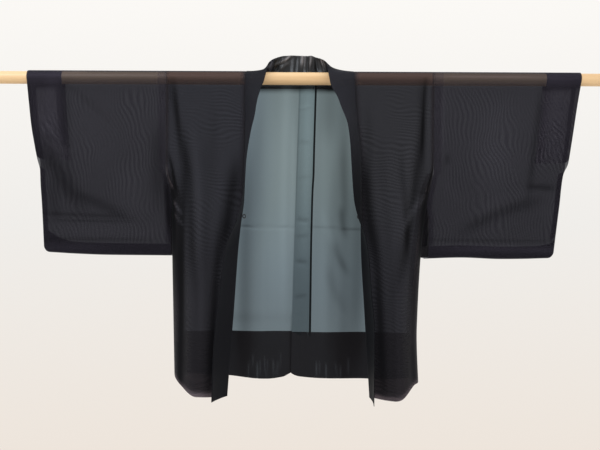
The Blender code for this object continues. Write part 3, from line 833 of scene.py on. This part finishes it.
def cloth_mesh(
    name, blocks, finish, slot, along=None, across=None, moire=0, close=0, tone=0, flipped=False
):
    """A sheet through blocks of points, each a grid of rows. Neighbouring rows are joined as far
    as the shorter one reaches. across, along, moire, close and the painted light hold one value for
    each block; the painted light is a painted highlight above 0 and painted shade below 0. A
    sheet called cloth stands for the solid that the rest of its name says."""
    blocks = blocks if isinstance(blocks, tuple) else (blocks,)
    count = [block.shape[1] for block in blocks for _ in block]
    starts = np.concatenate(([0], np.cumsum(count))).tolist()
    faces, way = [], -1 if flipped else 1
    for low, high, cells in zip(starts, starts[1:], np.minimum(count[:-1], count[1:]) - 1):
        faces += [(low + c, low + c + 1, high + c + 1, high + c)[::way] for c in range(cells)]
    points = np.concatenate([block.reshape(-1, 3) for block in blocks])
    made = piece(name, points, faces, finish)
    mesh = made.data
    across = points[:, 0] if across is None else spread(across, blocks)
    along = -points[:, 2] if along is None else spread(along, blocks)
    weave = np.stack((across, along, spread(moire, blocks)), axis=1)
    mesh.attributes.new("weave", "FLOAT_VECTOR", "POINT").data.foreach_set("vector", weave.ravel())
    # Painted light and shade: lift multiplies the threads' colour by it, and close crowds the
    # threads where it is below 0 and opens them where it is above.
    light = spread(tone, blocks)
    crowd = spread(close, blocks) - np.where(light < 0, 0.95, 0.6) * light
    for key, value in (("close", np.clip(crowd, -1, 1)), ("lift", np.exp(light))):
        mesh.attributes.new(key, "FLOAT", "POINT").data.foreach_set("value", value)
    mesh.shade_smooth()
    made.visible_shadow = False
    if name.startswith("cloth_"):
        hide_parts(name.removeprefix("cloth_"))
    return made


def second_finish(made, finish, chosen):
    """Gives another material to the faces whose centres are chosen."""
    made.data.materials.append(finish)
    picked = np.array([chosen(face.center) for face in made.data.polygons])
    made.data.polygons.foreach_set("material_index", picked.astype(np.int32))

# The body.

STRIP_STEPS, NECK_SIDE_STEPS = 46, 30  # cells under the shoulder strip, and on to the centre seam
BODY_ROWS, HEM_ROWS, OVER_ROWS = 130, 20, 14
FRONT_SHARES = np.linspace(0, 1, STRIP_STEPS + 1)
BACK_SHARES = np.concatenate(
    (FRONT_SHARES * STRIP_SHARE, np.linspace(STRIP_SHARE, 1, NECK_SIDE_STEPS + 1)[1:])
)
OVER_ANGLES = math.pi * (1 - down(1, OVER_ROWS - 1, OVER_ROWS - 1) / OVER_ROWS)  # from behind
OVER_ALONG = -SHOULDER_RADIUS * OVER_ANGLES

ROD_PAINTED_LIGHT, ROD_PAINTED_GLOSS = 0.4, 1.4  # stretched over the rod, the cloth lets more light through, and is painted lighter there as well, more again in a painted highlight along the rod's gloss
UNDER_ROD = 1.0  # the shade under the rod, on the back
HEM_FOLD_PAINTED_LIGHT = 0.7  # the fronts are painted lighter along the hem's fold, where the cloth is also made more open
HEM_FOLD = 0.981, 0.992
LOW_PAINTED_SHADE = 0.42  # painted shade low on the fronts, where they fold: the threads there are set closer, so the cloth is darker
HEM_CLOSE = {FRONT: 0.8, BACK: 0.95}  # how far the turned-up hems shut out the light
HEM_TOP = {FRONT: {"left": -615, "right": -620}, BACK: {"left": -602, "right": -604}}
STRIP_END = 0.861  # level at which the turned-up hem covers the seam's allowance
STRIP_SPREAD = 0.033  # how much wider that allowance is at the hem, as a share of the back
STRIP_PAINTED_SHADE = 0.42  # painted shade: how much closer its threads are set towards the hem, so that it is darker there
SELVAGE = 0.11  # the dense part of it, at its free edge


def over_the_rod(points):
    """1 where the cloth lies over the rod's front and top, and more along a painted highlight of
    the rod's gloss.
    """
    z = points[..., 2]
    return ease(-19, -12, z) + ROD_PAINTED_GLOSS * ease(-8, 3, z) * (1 - 0.75 * ease(9, 15, z))


def under_rod(points):
    """The shade the rod leaves on the back, between the fronts."""
    shade = UNDER_ROD * ease(-36, -17, points[..., 2])
    return shade * (1 - ease(96, 120, np.abs(points[..., 0])))


def blueness(points):
    """The back looks bluer towards its hem and its left side, where it turns from the light."""
    return 0.8 * np.maximum(ease(200, 520, -points[..., 2]), ease(40, 130, -points[..., 0]))


def below_rod(points):
    """How strong the moire is: none over the rod, and full a little way below it."""
    return ease(14, 40, -points[..., 2])


def hung_over(name, blocks, finish, painted_lights, **rest):
    """A sheet from its back up over the rod and down its front, painted lighter along the rod."""
    back, _, *low = blocks
    along = back[..., 2] - math.pi * SHOULDER_RADIUS, OVER_ALONG, *(-b[..., 2] for b in low)
    painted_lights = tuple(t + ROD_PAINTED_LIGHT * over_the_rod(b) for t, b in zip(painted_lights, blocks))
    flipped = name.endswith("left")
    return cloth_mesh(name, blocks, finish, "gauze", along, tone=painted_lights, flipped=flipped, **rest)


def make_body(side):
    """A body length: from the back hem up over the rod and down to the front hem."""
    level = down(0, 1, BODY_ROWS + 1)
    back = back_cloth(side, level[::-1], BACK_SHARES)
    over = shoulder_point(side, FRONT_SHARES, OVER_ANGLES)
    front = front_cloth(side, level, FRONT_SHARES)
    painted_lights = (
        painted_light_on(back, BACK_CREASES[side]) - under_rod(back), 0,
        painted_light_on(front, FRONT_CREASES[side]) + HEM_FOLD_PAINTED_LIGHT * ease(*HEM_FOLD, level),
    )
    body = hung_over(
        f"cloth_body_{side}", (back, over, front), GAUZE_FRONT, painted_lights,
        moire=(blueness(back), 0, below_rod(front)),
        close=(0, 0, LOW_PAINTED_SHADE * ease(260, 560, -front[..., 2])),
    )
    second_finish(body, GAUZE_BACK, lambda centre: centre.y > 0 and centre.z < 0)


def make_gusset(side):
    share = stations(0, (TURN_SHARE, 8), (1, 11))
    hem = mix(BACK_HEMS[side][0].z, FRONT_HEMS[side][0].z, share)
    grid = gusset_point(side, share, down(GUSSET_LEVEL, 1, 84) * hem)
    cloth_mesh(
        f"cloth_gusset_{side}", grid, GAUZE, "gauze", across=grid[..., 1],
        flipped=side == "right",
    )


def hem_cloth(side, face, part):
    """A panel along its turned-up hem, part 0 at the hem's top and 1 at its fold."""
    cloth, hems = PANELS[face]
    share = FRONT_SHARES if face == FRONT else BACK_SHARES
    return cloth(side, mix(HEM_TOP[face][side] / at(hems[side], share).z, 1, part), share)


def make_hem(side, face):
    """A turned-up hem, folded round the panel's edge and laid up its inner side."""
    grid = hem_cloth(side, face, down(0, 1, HEM_ROWS + 1))
    laid = moved_inside(grid, LAID, face)
    edge = grid[-1] + (grid[-1] - grid[-2]) * 0.1
    middle = (laid[-1] + edge) / 2 - np.array([0, 0, 0.6])
    hem = np.concatenate((laid, [middle, edge]))
    where, fade, tone = "back", 1, 0.25 * painted_light_on(hem, BACK_CREASES[side])
    if face == FRONT:
        where, tone = "front", 0
        fade = 1 - ease(HEM_ROWS - 2.5, HEM_ROWS, np.arange(len(hem))[:, None])
    cloth_mesh(
        f"cloth_hem_{where}_{side}", hem, GAUZE_TURNED, "gauze_turned",
        close=HEM_CLOSE[face] * fade, tone=tone, flipped=(side == "left") == (face == FRONT),
    )


def beside_seam(level, part):
    """The back beside the centre seam, part 0 at its allowance's free edge and 1 at the seam."""
    start = mix(STRIP_SHARE, 1, 2 / 3) - STRIP_SPREAD * ease(0.2, 0.95, level)
    return back_cloth("right", level, mix(start, 1, part))


def make_centre_seam():
    """The centre-back seam's allowance, with the dense selvage at its free edge."""
    part = np.concatenate(([0, 0.02, 0.105, 0.115], np.linspace(0, 1, 22)[4:]))
    grid = moved_inside(beside_seam(down(0.012, STRIP_END, 120), part), LAID, BACK)
    seam = pressed(grid, STRIP_CREASES)
    dense = np.maximum(part < SELVAGE, 0.35 * hill(part - 1, 0.09))
    cloth_mesh(
        "cloth_seam_back", seam, GAUZE_STRIP, "gauze_turned",
        close=np.maximum(dense, STRIP_PAINTED_SHADE * ease(60, 560, -seam[..., 2])),
        tone=painted_light_on(seam, STRIP_CREASES),
    )


# Sleeves.

SLEEVE_STEPS, CUFF_STEPS, CORNER_STEPS = 50, 14, 8
CUFF_ROWS, SLEEVE_ROWS, FOOT_ROWS = 40, 44, 5
BESIDE = 0.5  # from the body's side to a sleeve's free edge, just below the armhole
UPPER_PAINTED_LIGHT = 0.16  # painted light: how much lighter the sleeves are painted near the rod, where the light from above falls stronger
CUFF_FOLD = 17.0  # how far the cuff's inner edge is turned under
CUFF_FOLD_CLOSE = {"left": 0.1, "right": -0.85}
CUFF_CLOSE, CUFF_LOW_CLOSE = -0.7, -0.95  # below the rod, the cuff shuts out little light
CUFF_EDGE = 9.0  # the dense fold along the cuff's mouth
CUFF_MOUTH = {"left": 1.0, "right": 0.8}


def sleeve_width(side):
    return abs(SLEEVES[side][0].outer_x - SLEEVES[side][0].inner_x)


def sleeve_bottom(side, share):
    """The bottom's level, with the rounded outer corner."""
    from_edge = np.clip(SLEEVE_CORNER - (1 - share) * sleeve_width(side), 0, SLEEVE_CORNER)
    rise = SLEEVE_CORNER - np.sqrt(SLEEVE_CORNER**2 - from_edge**2)
    return at(SLEEVE_BOTTOMS[side], share).z + rise


def sleeve_cloth(side, face, level, share):
    """A sleeve's front or back layer, with its creases, share 1 at the cuff."""
    z = level * sleeve_bottom(side, share)
    _, inner, back_inner, outer = at(SLEEVES[side], z)
    inner, close = (back_inner, 1) if face == BACK else (inner, 1 - ease(296, 330, -z))
    beside = at(FRONTS[side], z).side_x + sign(side) * BESIDE
    inner = mix(inner, beside, ease(224, 234, -z) * close)
    from_edge = (1 - share) * np.abs(outer - inner)
    sewn = ease(-CUFF_OPEN, -CUFF_END, -z) * (1 - ease(0, PINCH, from_edge))
    half = mix(layer_half(z), SEWN_HALF, sewn)
    wave = SLEEVE_WAVE * np.sin(share * WAVES + 0.6) * ease(80, 300, -z)
    flat = points_at(mix(inner, outer, share), face * half + wave, z)
    creased = pressed(flat, SLEEVE_CREASES[face][side])
    away = ease(8, 60, from_edge) * ease(0, 40, -z) * (ease(4, 14, half) * 0.75 + 0.25)
    flat[..., 1] = mix(flat[..., 1], creased[..., 1], away)
    return flat


def sleeve_shares(side):
    """Across a sleeve: to the turned-in cuff, over it, and closer in the rounded corner."""
    width = sleeve_width(side)
    cuff, corner = 1 - CUFF_DEPTH / width, 1 - SLEEVE_CORNER / width
    rounded = corner + (1 - corner) * np.sin(np.linspace(0, math.pi / 2, CORNER_STEPS + 1))
    return np.concatenate((stations(0, (cuff, SLEEVE_STEPS), (corner, CUFF_STEPS)), rounded[1:]))


def over_rod(row, radius, angles=OVER_ANGLES):
    """Rows over the rod that carry on a row beside it."""
    return points_at(row[:, 0], -radius * np.cos(angles), radius * np.sin(angles))


def make_sleeve(side):
    """A flattened tube about the rod: up the back, over the rod, down the front and round the
    bottom fold. Its outer edge is sewn up below the cuff opening."""
    share, sewn_from = sleeve_shares(side), -CUFF_END / SLEEVE_DEPTH
    level = stations(0, (sewn_from, CUFF_ROWS), (1, SLEEVE_ROWS))[:, None]
    back = sleeve_cloth(side, BACK, level[::-1], share)
    front = sleeve_cloth(side, FRONT, level, share)
    over = over_rod(back[-1], SHOULDER_RADIUS)
    middle, half = (front[-1] + back[0]) / 2, (back[0] - front[-1])[:, 1:2] / 2
    turns = math.pi * np.arange(1, FOOT_ROWS)[:, None] / FOOT_ROWS
    foot = middle + half * points_at(0, -np.cos(turns), -FOOT_DROP * np.sin(turns))
    low = (front, foot, back[:1])
    painted_lights = (painted_light_on(back, SLEEVE_CREASES[BACK][side]), painted_light_on(over, ROD_PAINTED_HIGHLIGHTS))
    for block in low:
        upper_painted_light = UPPER_PAINTED_LIGHT * ease(300, 60, -block[..., 2])
        painted_lights += (painted_light_on(block, SLEEVE_CREASES[FRONT][side]) + upper_painted_light,)
    moire = (0, 0, *(below_rod(block) for block in low))
    hung_over(f"cloth_sleeve_{side}", (back, over, *low), GAUZE, painted_lights, moire=moire)


def make_cuff(side):
    """The cuff's turned-in depth, its inner edge turned under once more."""
    width = sleeve_width(side)
    start, fold = 1 - CUFF_DEPTH / width, CUFF_FOLD / width
    share = stations(start, (start + fold, 4), (1, 15))
    level = down(0, -CUFF_OPEN / SLEEVE_DEPTH, 34)
    back, front = (sleeve_cloth(side, face, level, share) for face in (BACK, FRONT))

    def lined(off):
        laid_back, laid_front = moved_inside(back, off, BACK), moved_inside(front, off, FRONT)
        over = over_rod(back[0], SHOULDER_RADIUS - off)
        return np.concatenate((laid_back[::-1], over, laid_front))

    grid = np.concatenate((lined(LAID + 0.25)[:, 4::-1], lined(LAID - 0.1)), axis=1)
    z = grid[..., 2]
    folded = np.where(np.arange(grid.shape[1]) < 9, CUFF_FOLD_CLOSE[side], CUFF_CLOSE)
    at_mouth = np.concatenate((np.zeros(5, bool), (1 - share) * width < CUFF_EDGE))
    mouth = np.where(at_mouth, CUFF_MOUTH[side], -1)
    below = np.maximum(mix(folded, CUFF_LOW_CLOSE, ease(120, 180, -z)), mouth)
    cloth_mesh(
        f"cloth_cuff_{side}", grid, GAUZE_TURNED, "gauze_turned",
        moire=below_rod(grid), close=mix(below, 1.0, ease(-30, -16, z)), flipped=side == "left",
    )

# Seam allowances: strips of the same cloth, turned in along the seams and pressed flat.

ALLOWANCE_OFF = 0.8  # from a panel's middle to an allowance pressed against it
ARMHOLE_WIDTH = {"left": (20, 6), "right": (22, 5)}  # on the sleeve, and on the body
ARMHOLE_CLOSE, FREE_CLOSE, SIDE_CLOSE = -0.6, -0.3, 0.1
BOTTOM_CLOSE, SEWN_CLOSE, NECK_CLOSE, CREASE_CLOSE = 0.75, 0.5, 0.5, 0.95
FREE_EDGE_WIDTH, SIDE_WIDTH, SEWN_WIDTH = 14.0, 11.0, 12.0
PANEL_WIDTH = {FRONT: 150.0, BACK: 280.0}
STRIP_WIDTH, BACK_HEIGHT = 187.0, 705.0  # of the shoulder strip, and of the back
NECK_DEPTH = 19.5
SIDE_START = 0.315  # level at which the armhole ends and the side's free edge starts
SEAM_LEVEL = -SLEEVE_SEAM_END / SLEEVE_DEPTH
UNDER_COLLAR = 5.0  # how far a front's edge runs on under the collar near the neck
COLLAR_CLOSE = -0.6, -0.6, 0.2, 0.9, 0.9  # across the allowance along a front's edge
# How deep the sleeve's bottom allowance is at each place across.
Depth = namedtuple("Depth", "share depth")
BOTTOM_DEPTHS = sided(Depth, """
  0 25
.76 25
.86 31
.92 41
  1 58
""", """
  0 26
.85 27
  1 34
""")


def turned_in(name, grid, close, face=None):
    """An allowance over a grid of its panel's points, moved in from a panel on that face."""
    grid = moved_inside(grid, ALLOWANCE_OFF, face) if face else grid
    cloth_mesh(f"allowance_{name}", grid, GAUZE_TURNED, "gauze_turned", close=close)


def edge_shares(first, width, count):
    """Places across an allowance: its seam, and from first as far as its width."""
    return np.concatenate(([0], np.linspace(first, width, count)))


def dense_edge(share, close):
    """How close the threads lie across an allowance: dense in the crease of its seam."""
    return np.where(np.arange(len(share)) == 0, CREASE_CLOSE, close)


def make_armhole_allowances(side):
    """Beside the sleeve seam, from its end in front up over the rod and down behind."""
    on_sleeve, on_body = ARMHOLE_WIDTH[side]
    share = edge_shares(2.5, on_sleeve, 6) / sleeve_width(side)
    level = down(0, SEAM_LEVEL, 40)
    sleeve = [sleeve_cloth(side, face, level, share) for face in (FRONT, BACK)]
    share, level = edge_shares(2.0, on_body, 6) / STRIP_WIDTH, down(0, 0.31, 40)
    body = front_cloth(side, level, share), back_cloth(side, level, share * STRIP_SHARE)
    for panel, (front, back) in (("sleeve", sleeve), ("body", body)):
        front = moved_inside(front, ALLOWANCE_OFF, FRONT)
        back = moved_inside(back, ALLOWANCE_OFF, BACK)
        over = over_rod(front[0], SHOULDER_RADIUS - ALLOWANCE_OFF, OVER_ANGLES[::-1])
        grid = np.concatenate((front[::-1], over, back))
        turned_in(f"armhole_{panel}_{side}", grid, dense_edge(share, ARMHOLE_CLOSE))


def make_sleeve_allowances(side):
    """Along a sleeve's bottom, its sewn outer edge and its free inner edge, on both layers."""
    width, across = sleeve_width(side), sleeve_shares(side)
    top = 1 + at(BOTTOM_DEPTHS[side], across).depth / sleeve_bottom(side, across)
    free = edge_shares(2.5, FREE_EDGE_WIDTH, 6) / width
    sewn = np.linspace(1 - SEWN_WIDTH / width, 1, 5)
    strips = (
        ("bottom", mix(top, 1.0, down(0, 0.99, 12)), across, BOTTOM_CLOSE),
        ("sewn", down(-CUFF_END / SLEEVE_DEPTH, 0.9, 30), sewn, SEWN_CLOSE),
        ("free", down(SEAM_LEVEL, 0.93, 36), free, dense_edge(free, FREE_CLOSE)),
    )
    for where, face in FACES.items():
        for kind, level, share, close in strips:
            cloth = sleeve_cloth(side, face, level, share)
            turned_in(f"{kind}_{where}_{side}", cloth, close, face)


def make_body_allowances(side):
    """Along the side edges below the armhole, and under the collar behind the neck."""
    level, across = down(SIDE_START, HEM_LEVEL - 0.003, 70), edge_shares(2.0, SIDE_WIDTH, 5)
    for where, face in FACES.items():
        cloth = PANELS[face][0](side, level, across / PANEL_WIDTH[face])
        turned_in(f"side_{where}_{side}", cloth, dense_edge(across, SIDE_CLOSE), face)
    level, share = down(0.001, NECK_DEPTH / BACK_HEIGHT, 6), np.linspace(STRIP_SHARE + 0.05, 1, 30)
    turned_in(f"neck_{side}", back_cloth(side, level, share), NECK_CLOSE, BACK)


def make_collar_allowance(side):
    """Along a front's edge, running on under the collar's seam."""
    share = np.linspace(0.94, 1, 4)
    grid = moved_inside(front_cloth(side, down(0, 0.998, 120), share), ALLOWANCE_OFF, FRONT)
    last = grid[:, -1:]
    reach = mix(UNDER_COLLAR, UNDER_COLLAR / 4, ease(120, 260, -last[..., 2:]))
    under = last + unit(last - grid[:, -2:-1]) * reach
    over = shoulder_point(side, np.append(share, 1.0), OVER_ANGLES)
    over[..., 1:] *= 1 - ALLOWANCE_OFF / SHOULDER_RADIUS
    over[:, -1, 0] -= sign(side) * UNDER_COLLAR
    grid = np.concatenate((over, np.concatenate((grid, under), axis=1)))
    turned_in(f"collar_{side}", grid, np.array(COLLAR_CLOSE))


# The collar.

COLLAR_STEPS, BAND_STEPS = 150, 20  # cells along a front, and across the band
NECK_FINE = 22  # stations for each row of the neck's table
BAND_HALF = 0.8 * BAND / 2  # the band is pressed thinner than its solid
NECK_SHADE = 0.75  # how much darker the collar's back lies towards the rod
SATIN_ABOVE, SATIN_HALF = 0.018, 0.062  # where the collar's back shines, in metres


def front_stations(side, first, last):
    """The collar's seam and free edge, how far it bows, and the way on past the seam."""
    level = np.linspace(first, last, COLLAR_STEPS + 1)
    seam = front_point(side, 1.0, level)
    edge = points_at(*at(COLLAR_EDGES[side], level)[1:])
    onward = unit(seam - front_point(side, 0.98, level))
    return seam, edge, np.full(len(level), FRONT_CROWN), onward


def neck_stations():
    """The same round the neck, smooth through the table's rows."""
    neck = at(NECK, np.linspace(0, len(NECK) - 1, (len(NECK) - 1) * NECK_FINE + 1))
    seam, edge = points_at(*neck[1:4]), points_at(*neck[4:7])
    over = np.where(seam[:, 1] > 0, ease(88, 124, np.abs(seam[:, 0])), 1.0)
    onward = unit(points_at(-np.copysign(over, seam[:, 0]), 0, 1 - over))
    return seam, edge, neck.crown, onward


def collar_middle():
    """The collar's middle surface: a grid of stations x places across the band."""
    left, right = front_stations("left", -737, -12), front_stations("right", -12, -739)
    parts = zip(left, neck_stations(), right)
    seam, edge, crown, onward = (np.concatenate(part) for part in parts)
    along = unit(np.gradient(seam + edge, axis=0))
    across = unit(edge - seam)
    lift = unit(np.cross(across, along))
    lean = np.sum(across * onward, axis=1, keepdims=True)
    aside = unit(across - onward * lean)
    clear = onward * (SEAM + (BAND / 2 + SEAM) * np.sqrt(np.maximum(1 - lean**2, 0)))
    clear = clear + aside * (CLOTH / 2 + BAND / 2 + 3 * SEAM) * ease(0.2, 0.9, -lean)
    share = np.linspace(0, 1, BAND_STEPS + 1)[:, None]
    grid = mix((seam + clear)[:, None], edge[:, None], share)
    grid = grid + lift[:, None] * crown[:, None, None] * 4 * share * (1 - share)
    behind = ease(30, 52, edge[:, 2])[:, None] * ease(0.05, 0.5, share[:, 0])
    for pucker in PUCKERS:
        grid[..., 1] += behind * pucker.depth * hill(grid[..., 0] - pucker.x, pucker.width)
    grid[..., 1] += behind * along_creases(grid, NECK_CREASES, "depth")
    out = np.hypot(grid[..., 1:2], grid[..., 2:])
    grid[..., 1:] *= np.maximum(SHOULDER_RADIUS / np.maximum(out, 1e-6), 1)
    return grid


def collar_painted_light(seam):
    """Painted light and shade on the collar: lighter near the neck, and the left one lighter than
    the right again in its lower half, where the right is painted darkest.
    """
    fall = -seam[:, 2]
    left = 0.5 - 0.5 * ease(60, 400, fall) - 0.3 * ease(480, 660, fall)
    return np.where(seam[:, 0] < 0, left, 0.78 - 1.6 * ease(80, 350, fall))[:, None]


def make_collar():
    """The folded collar band: its outer and inner faces, joined round both long edges."""
    middle = collar_middle()
    off = normals_of(middle) * BAND_HALF
    outer, inner = middle + off, (middle - off)[:, ::-1]
    onward = unit(middle[:, -1:] - middle[:, -2:-1]) * BAND_HALF
    fold, root = middle[:, -1:] + onward, middle[:, :1] - onward * 0.5
    ring = np.concatenate((outer, fold, inner, root, outer[:, :1]), axis=1)
    along = np.cumsum(np.linalg.norm(np.gradient(middle[:, 8], axis=0), axis=1))[:, None]
    z = ring[..., 2]
    # Painted highlights on the gathers, and painted shade towards the rod.
    neck_painted_light = painted_light_on(ring, NECK_CREASES) - NECK_SHADE * (1 - ease(26, 46, z))
    collar = cloth_mesh(
        "cloth_collar", ring, GAUZE_BAND, "gauze_collar", across=lengths_along(ring, 1),
        along=along, tone=collar_painted_light(middle[:, 0]) + neck_painted_light * ease(14, 22, z),
    )
    second_finish(
        collar, SATIN_BAND, lambda centre: centre.z > SATIN_ABOVE and abs(centre.x) < SATIN_HALF
    )


# Stitches, sewn by hand: single threads that catch each turned edge to its panel.

STITCH_PITCH, STITCH_LENGTH, STITCH_HALF = 9.0, 2.6, 0.3
UNEVEN = 0.9  # how far the stitches stray along their line
HIGH = 0.7  # from the middle of a turned edge to its stitches
THREAD = silk_thread()


def stitches_along(line):
    """The stitches' places and directions along a line of points, a little uneven."""
    along = lengths_along(line)
    sewn = np.arange(STITCH_PITCH / 2, along[-1] - STITCH_PITCH / 2, STITCH_PITCH)
    sewn = sewn + UNEVEN * np.sin(sewn * 1.7)
    place, ahead = (points_at(*(np.interp(v, along, c) for c in line.T)) for v in (sewn, sewn + 2))
    return zip(place, unit(ahead - place))


def hem_line(side, face):
    grid = hem_cloth(side, face, down(0.01, 0.04, 3))
    return moved_inside(grid, LAID + HIGH, face)[1]


def cuff_line(side, face):
    share = 1 - (CUFF_DEPTH - np.array([1, 2.5, 4])) / sleeve_width(side)
    level = down(28, -CUFF_OPEN, 40) / SLEEVE_DEPTH
    return moved_inside(sleeve_cloth(side, face, level, share), LAID + 0.25 + HIGH, face)[:, 1]


def centre_line():
    grid = beside_seam(down(0.06, STRIP_END - 0.01, 60), np.array([0.03, 0.06, 0.09]))
    return moved_inside(grid, LAID + HIGH, BACK)[:, 1]


def make_stitches(side):
    lines = [hem_line(side, face) for face in (BACK, FRONT)]
    lines += [cuff_line(side, face) for face in (FRONT, BACK)]
    lines += [centre_line()] if side == "right" else []
    points, faces = [], []
    for place, ahead in (stitch for line in lines for stitch in stitches_along(line)):
        aside = unit(np.cross(ahead, (0.0, 1.0, 0.0))) * STITCH_HALF
        up, half = np.cross(ahead, aside), ahead * STITCH_LENGTH / 2
        first = len(points)
        points += [place - half, place + aside, place + up, place - aside, place - up, place + half]
        for i in range(4):
            a, b = first + 1 + i, first + 1 + (i + 1) % 4
            faces += [(first, a, b), (first + 5, b, a)]
    piece(f"stitches_{side}", points, faces, THREAD)


# The width, length and area that each piece was cut to, in metres, the sleeves' all round.

SHEETS = {
    "body_left": (0.315, 1.507, 0.360),
    "body_right": (0.320, 1.508, 0.367),
    "sleeve_left": (0.335, 0.895, 0.281),
    "sleeve_right": (0.350, 0.905, 0.294),
    "gusset_left": (0.062, 0.444, 0.0168),
    "gusset_right": (0.062, 0.446, 0.0177),
    "collar": (0.124, 1.798, 0.2229),
}


# The turned edges and the allowances that belong to each panel's cloth.
TURNED_EDGES = {"body": ("hem_back", "hem_front"), "sleeve": ("cuff",)}
ALLOWANCES = {
    "body": ("side_back", "side_front", "armhole_body", "collar", "neck"),
    "sleeve": (
        "bottom_front", "bottom_back", "sewn_front", "sewn_back", "free_front", "free_back",
        "armhole_sleeve",
    ),
}


def pieces_on(part, side):
    names = [f"cloth_{kind}_{side}" for kind in TURNED_EDGES.get(part, ())]
    names += [f"allowance_{kind}_{side}" for kind in ALLOWANCES.get(part, ())]
    names += ["cloth_seam_back"] if (part, side) == ("body", "right") else []
    return [bpy.data.objects[name] for name in names]


def declare_sheets():
    for name, (width, length, area) in SHEETS.items():
        part, _, side = name.partition("_")
        pieces_on(part, side)


# Camera, light and surroundings, in metres.

VIEW_DISTANCE, VIEW_WIDTH = 2.0, 1.427  # to the rod, and how much of it spans the view
VIEW_X, VIEW_Z = 0.0010, -0.3448
VIEW_ROLL = math.radians(-0.26)
VIEW_RISE = 0.0022  # the picture's shift, as a share of its width
SENSOR = 36.0
FLOOR_LEVEL, FLOOR_RADIUS = -1.7, 2.5
KEY_PLACE, KEY_TARGET, KEY_SIZE, KEY_WATTS = (-1.7, -2.4, 1.9), (0, 0, -0.3), (1.6, 1.2), 45
STUDIO = (  # the studio's colour from below, at 0, to above, at 1
    (0.0, (0.62, 0.58, 0.54)),
    (0.37, (0.85, 0.78, 0.71)),
    (0.5, (0.87, 0.85, 0.82)),
    (0.63, (0.97, 0.95, 0.92)),
    (1.0, (1.25, 1.24, 1.22)),
)


def make_camera():
    data = bpy.data.cameras.new("camera")
    data.sensor_width, data.lens = SENSOR, SENSOR * VIEW_DISTANCE / VIEW_WIDTH
    data.shift_y = -VIEW_RISE
    place, turned = (VIEW_X, -VIEW_DISTANCE, VIEW_Z), (math.pi / 2, VIEW_ROLL, 0)
    bpy.context.scene.camera = place_in_scene("camera", data, place, turned)


def make_world():
    """A pale studio all round, brighter and whiter above."""
    bpy.context.scene.world = bpy.data.worlds.new("studio")
    s = Shader(bpy.context.scene.world, "World")
    height = s.node("SeparateXYZ", Vector=s.place("Generated")).node.outputs["Z"]
    colour = s.node("ValToRGB", i0=s.maths("MULTIPLY_ADD", height, 0.5, 0.5))
    stops = colour.node.color_ramp.elements
    for i, (place, shade) in enumerate(STUDIO):
        stop = stops[i] if i < len(stops) else stops.new(place)
        stop.position, stop.color = place, rgb(*shade)
    s.finish(s.node("Background", Color=colour))


def make_key_light():
    data = bpy.data.lights.new("key", "AREA")
    data.shape, data.size, data.size_y = "RECTANGLE", *KEY_SIZE
    data.energy = KEY_WATTS
    aim = (Vector(KEY_TARGET) - Vector(KEY_PLACE)).to_track_quat("-Z", "Y").to_euler()
    place_in_scene("key", data, KEY_PLACE, aim)


def make_floor():
    bpy.ops.mesh.primitive_circle_add(
        vertices=128, radius=FLOOR_RADIUS, fill_type="NGON", location=(0, 0, FLOOR_LEVEL)
    )
    floor = bpy.context.object
    floor.name = "floor"
    s = shader("pale floor")
    matt = s.node("BsdfPrincipled", Base_Color=rgb(0.8, 0.78, 0.75), Roughness=0.9)
    floor.data.materials.append(s.finish(matt))


def finish_carried_over():
    """The rod and the loops keep their solids, with materials of their own."""
    cord = twisted_cord()
    for name, material in (("rod", wood()), ("loop_left", cord), ("loop_right", cord)):
        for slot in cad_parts[name].material_slots:
            slot.material = material


def main():
    finish_carried_over()
    make_camera()
    make_world()
    make_key_light()
    make_floor()
    for side in ("left", "right"):
        make_body(side)
        make_gusset(side)
        make_hem(side, BACK)
        make_hem(side, FRONT)
        make_body_allowances(side)
        make_sleeve(side)
        make_cuff(side)
        make_armhole_allowances(side)
        make_sleeve_allowances(side)
        make_collar_allowance(side)
        make_stitches(side)
    make_centre_seam()
    make_collar()
    declare_sheets()
    bpy.context.scene.view_settings.view_transform = "Standard"


main()
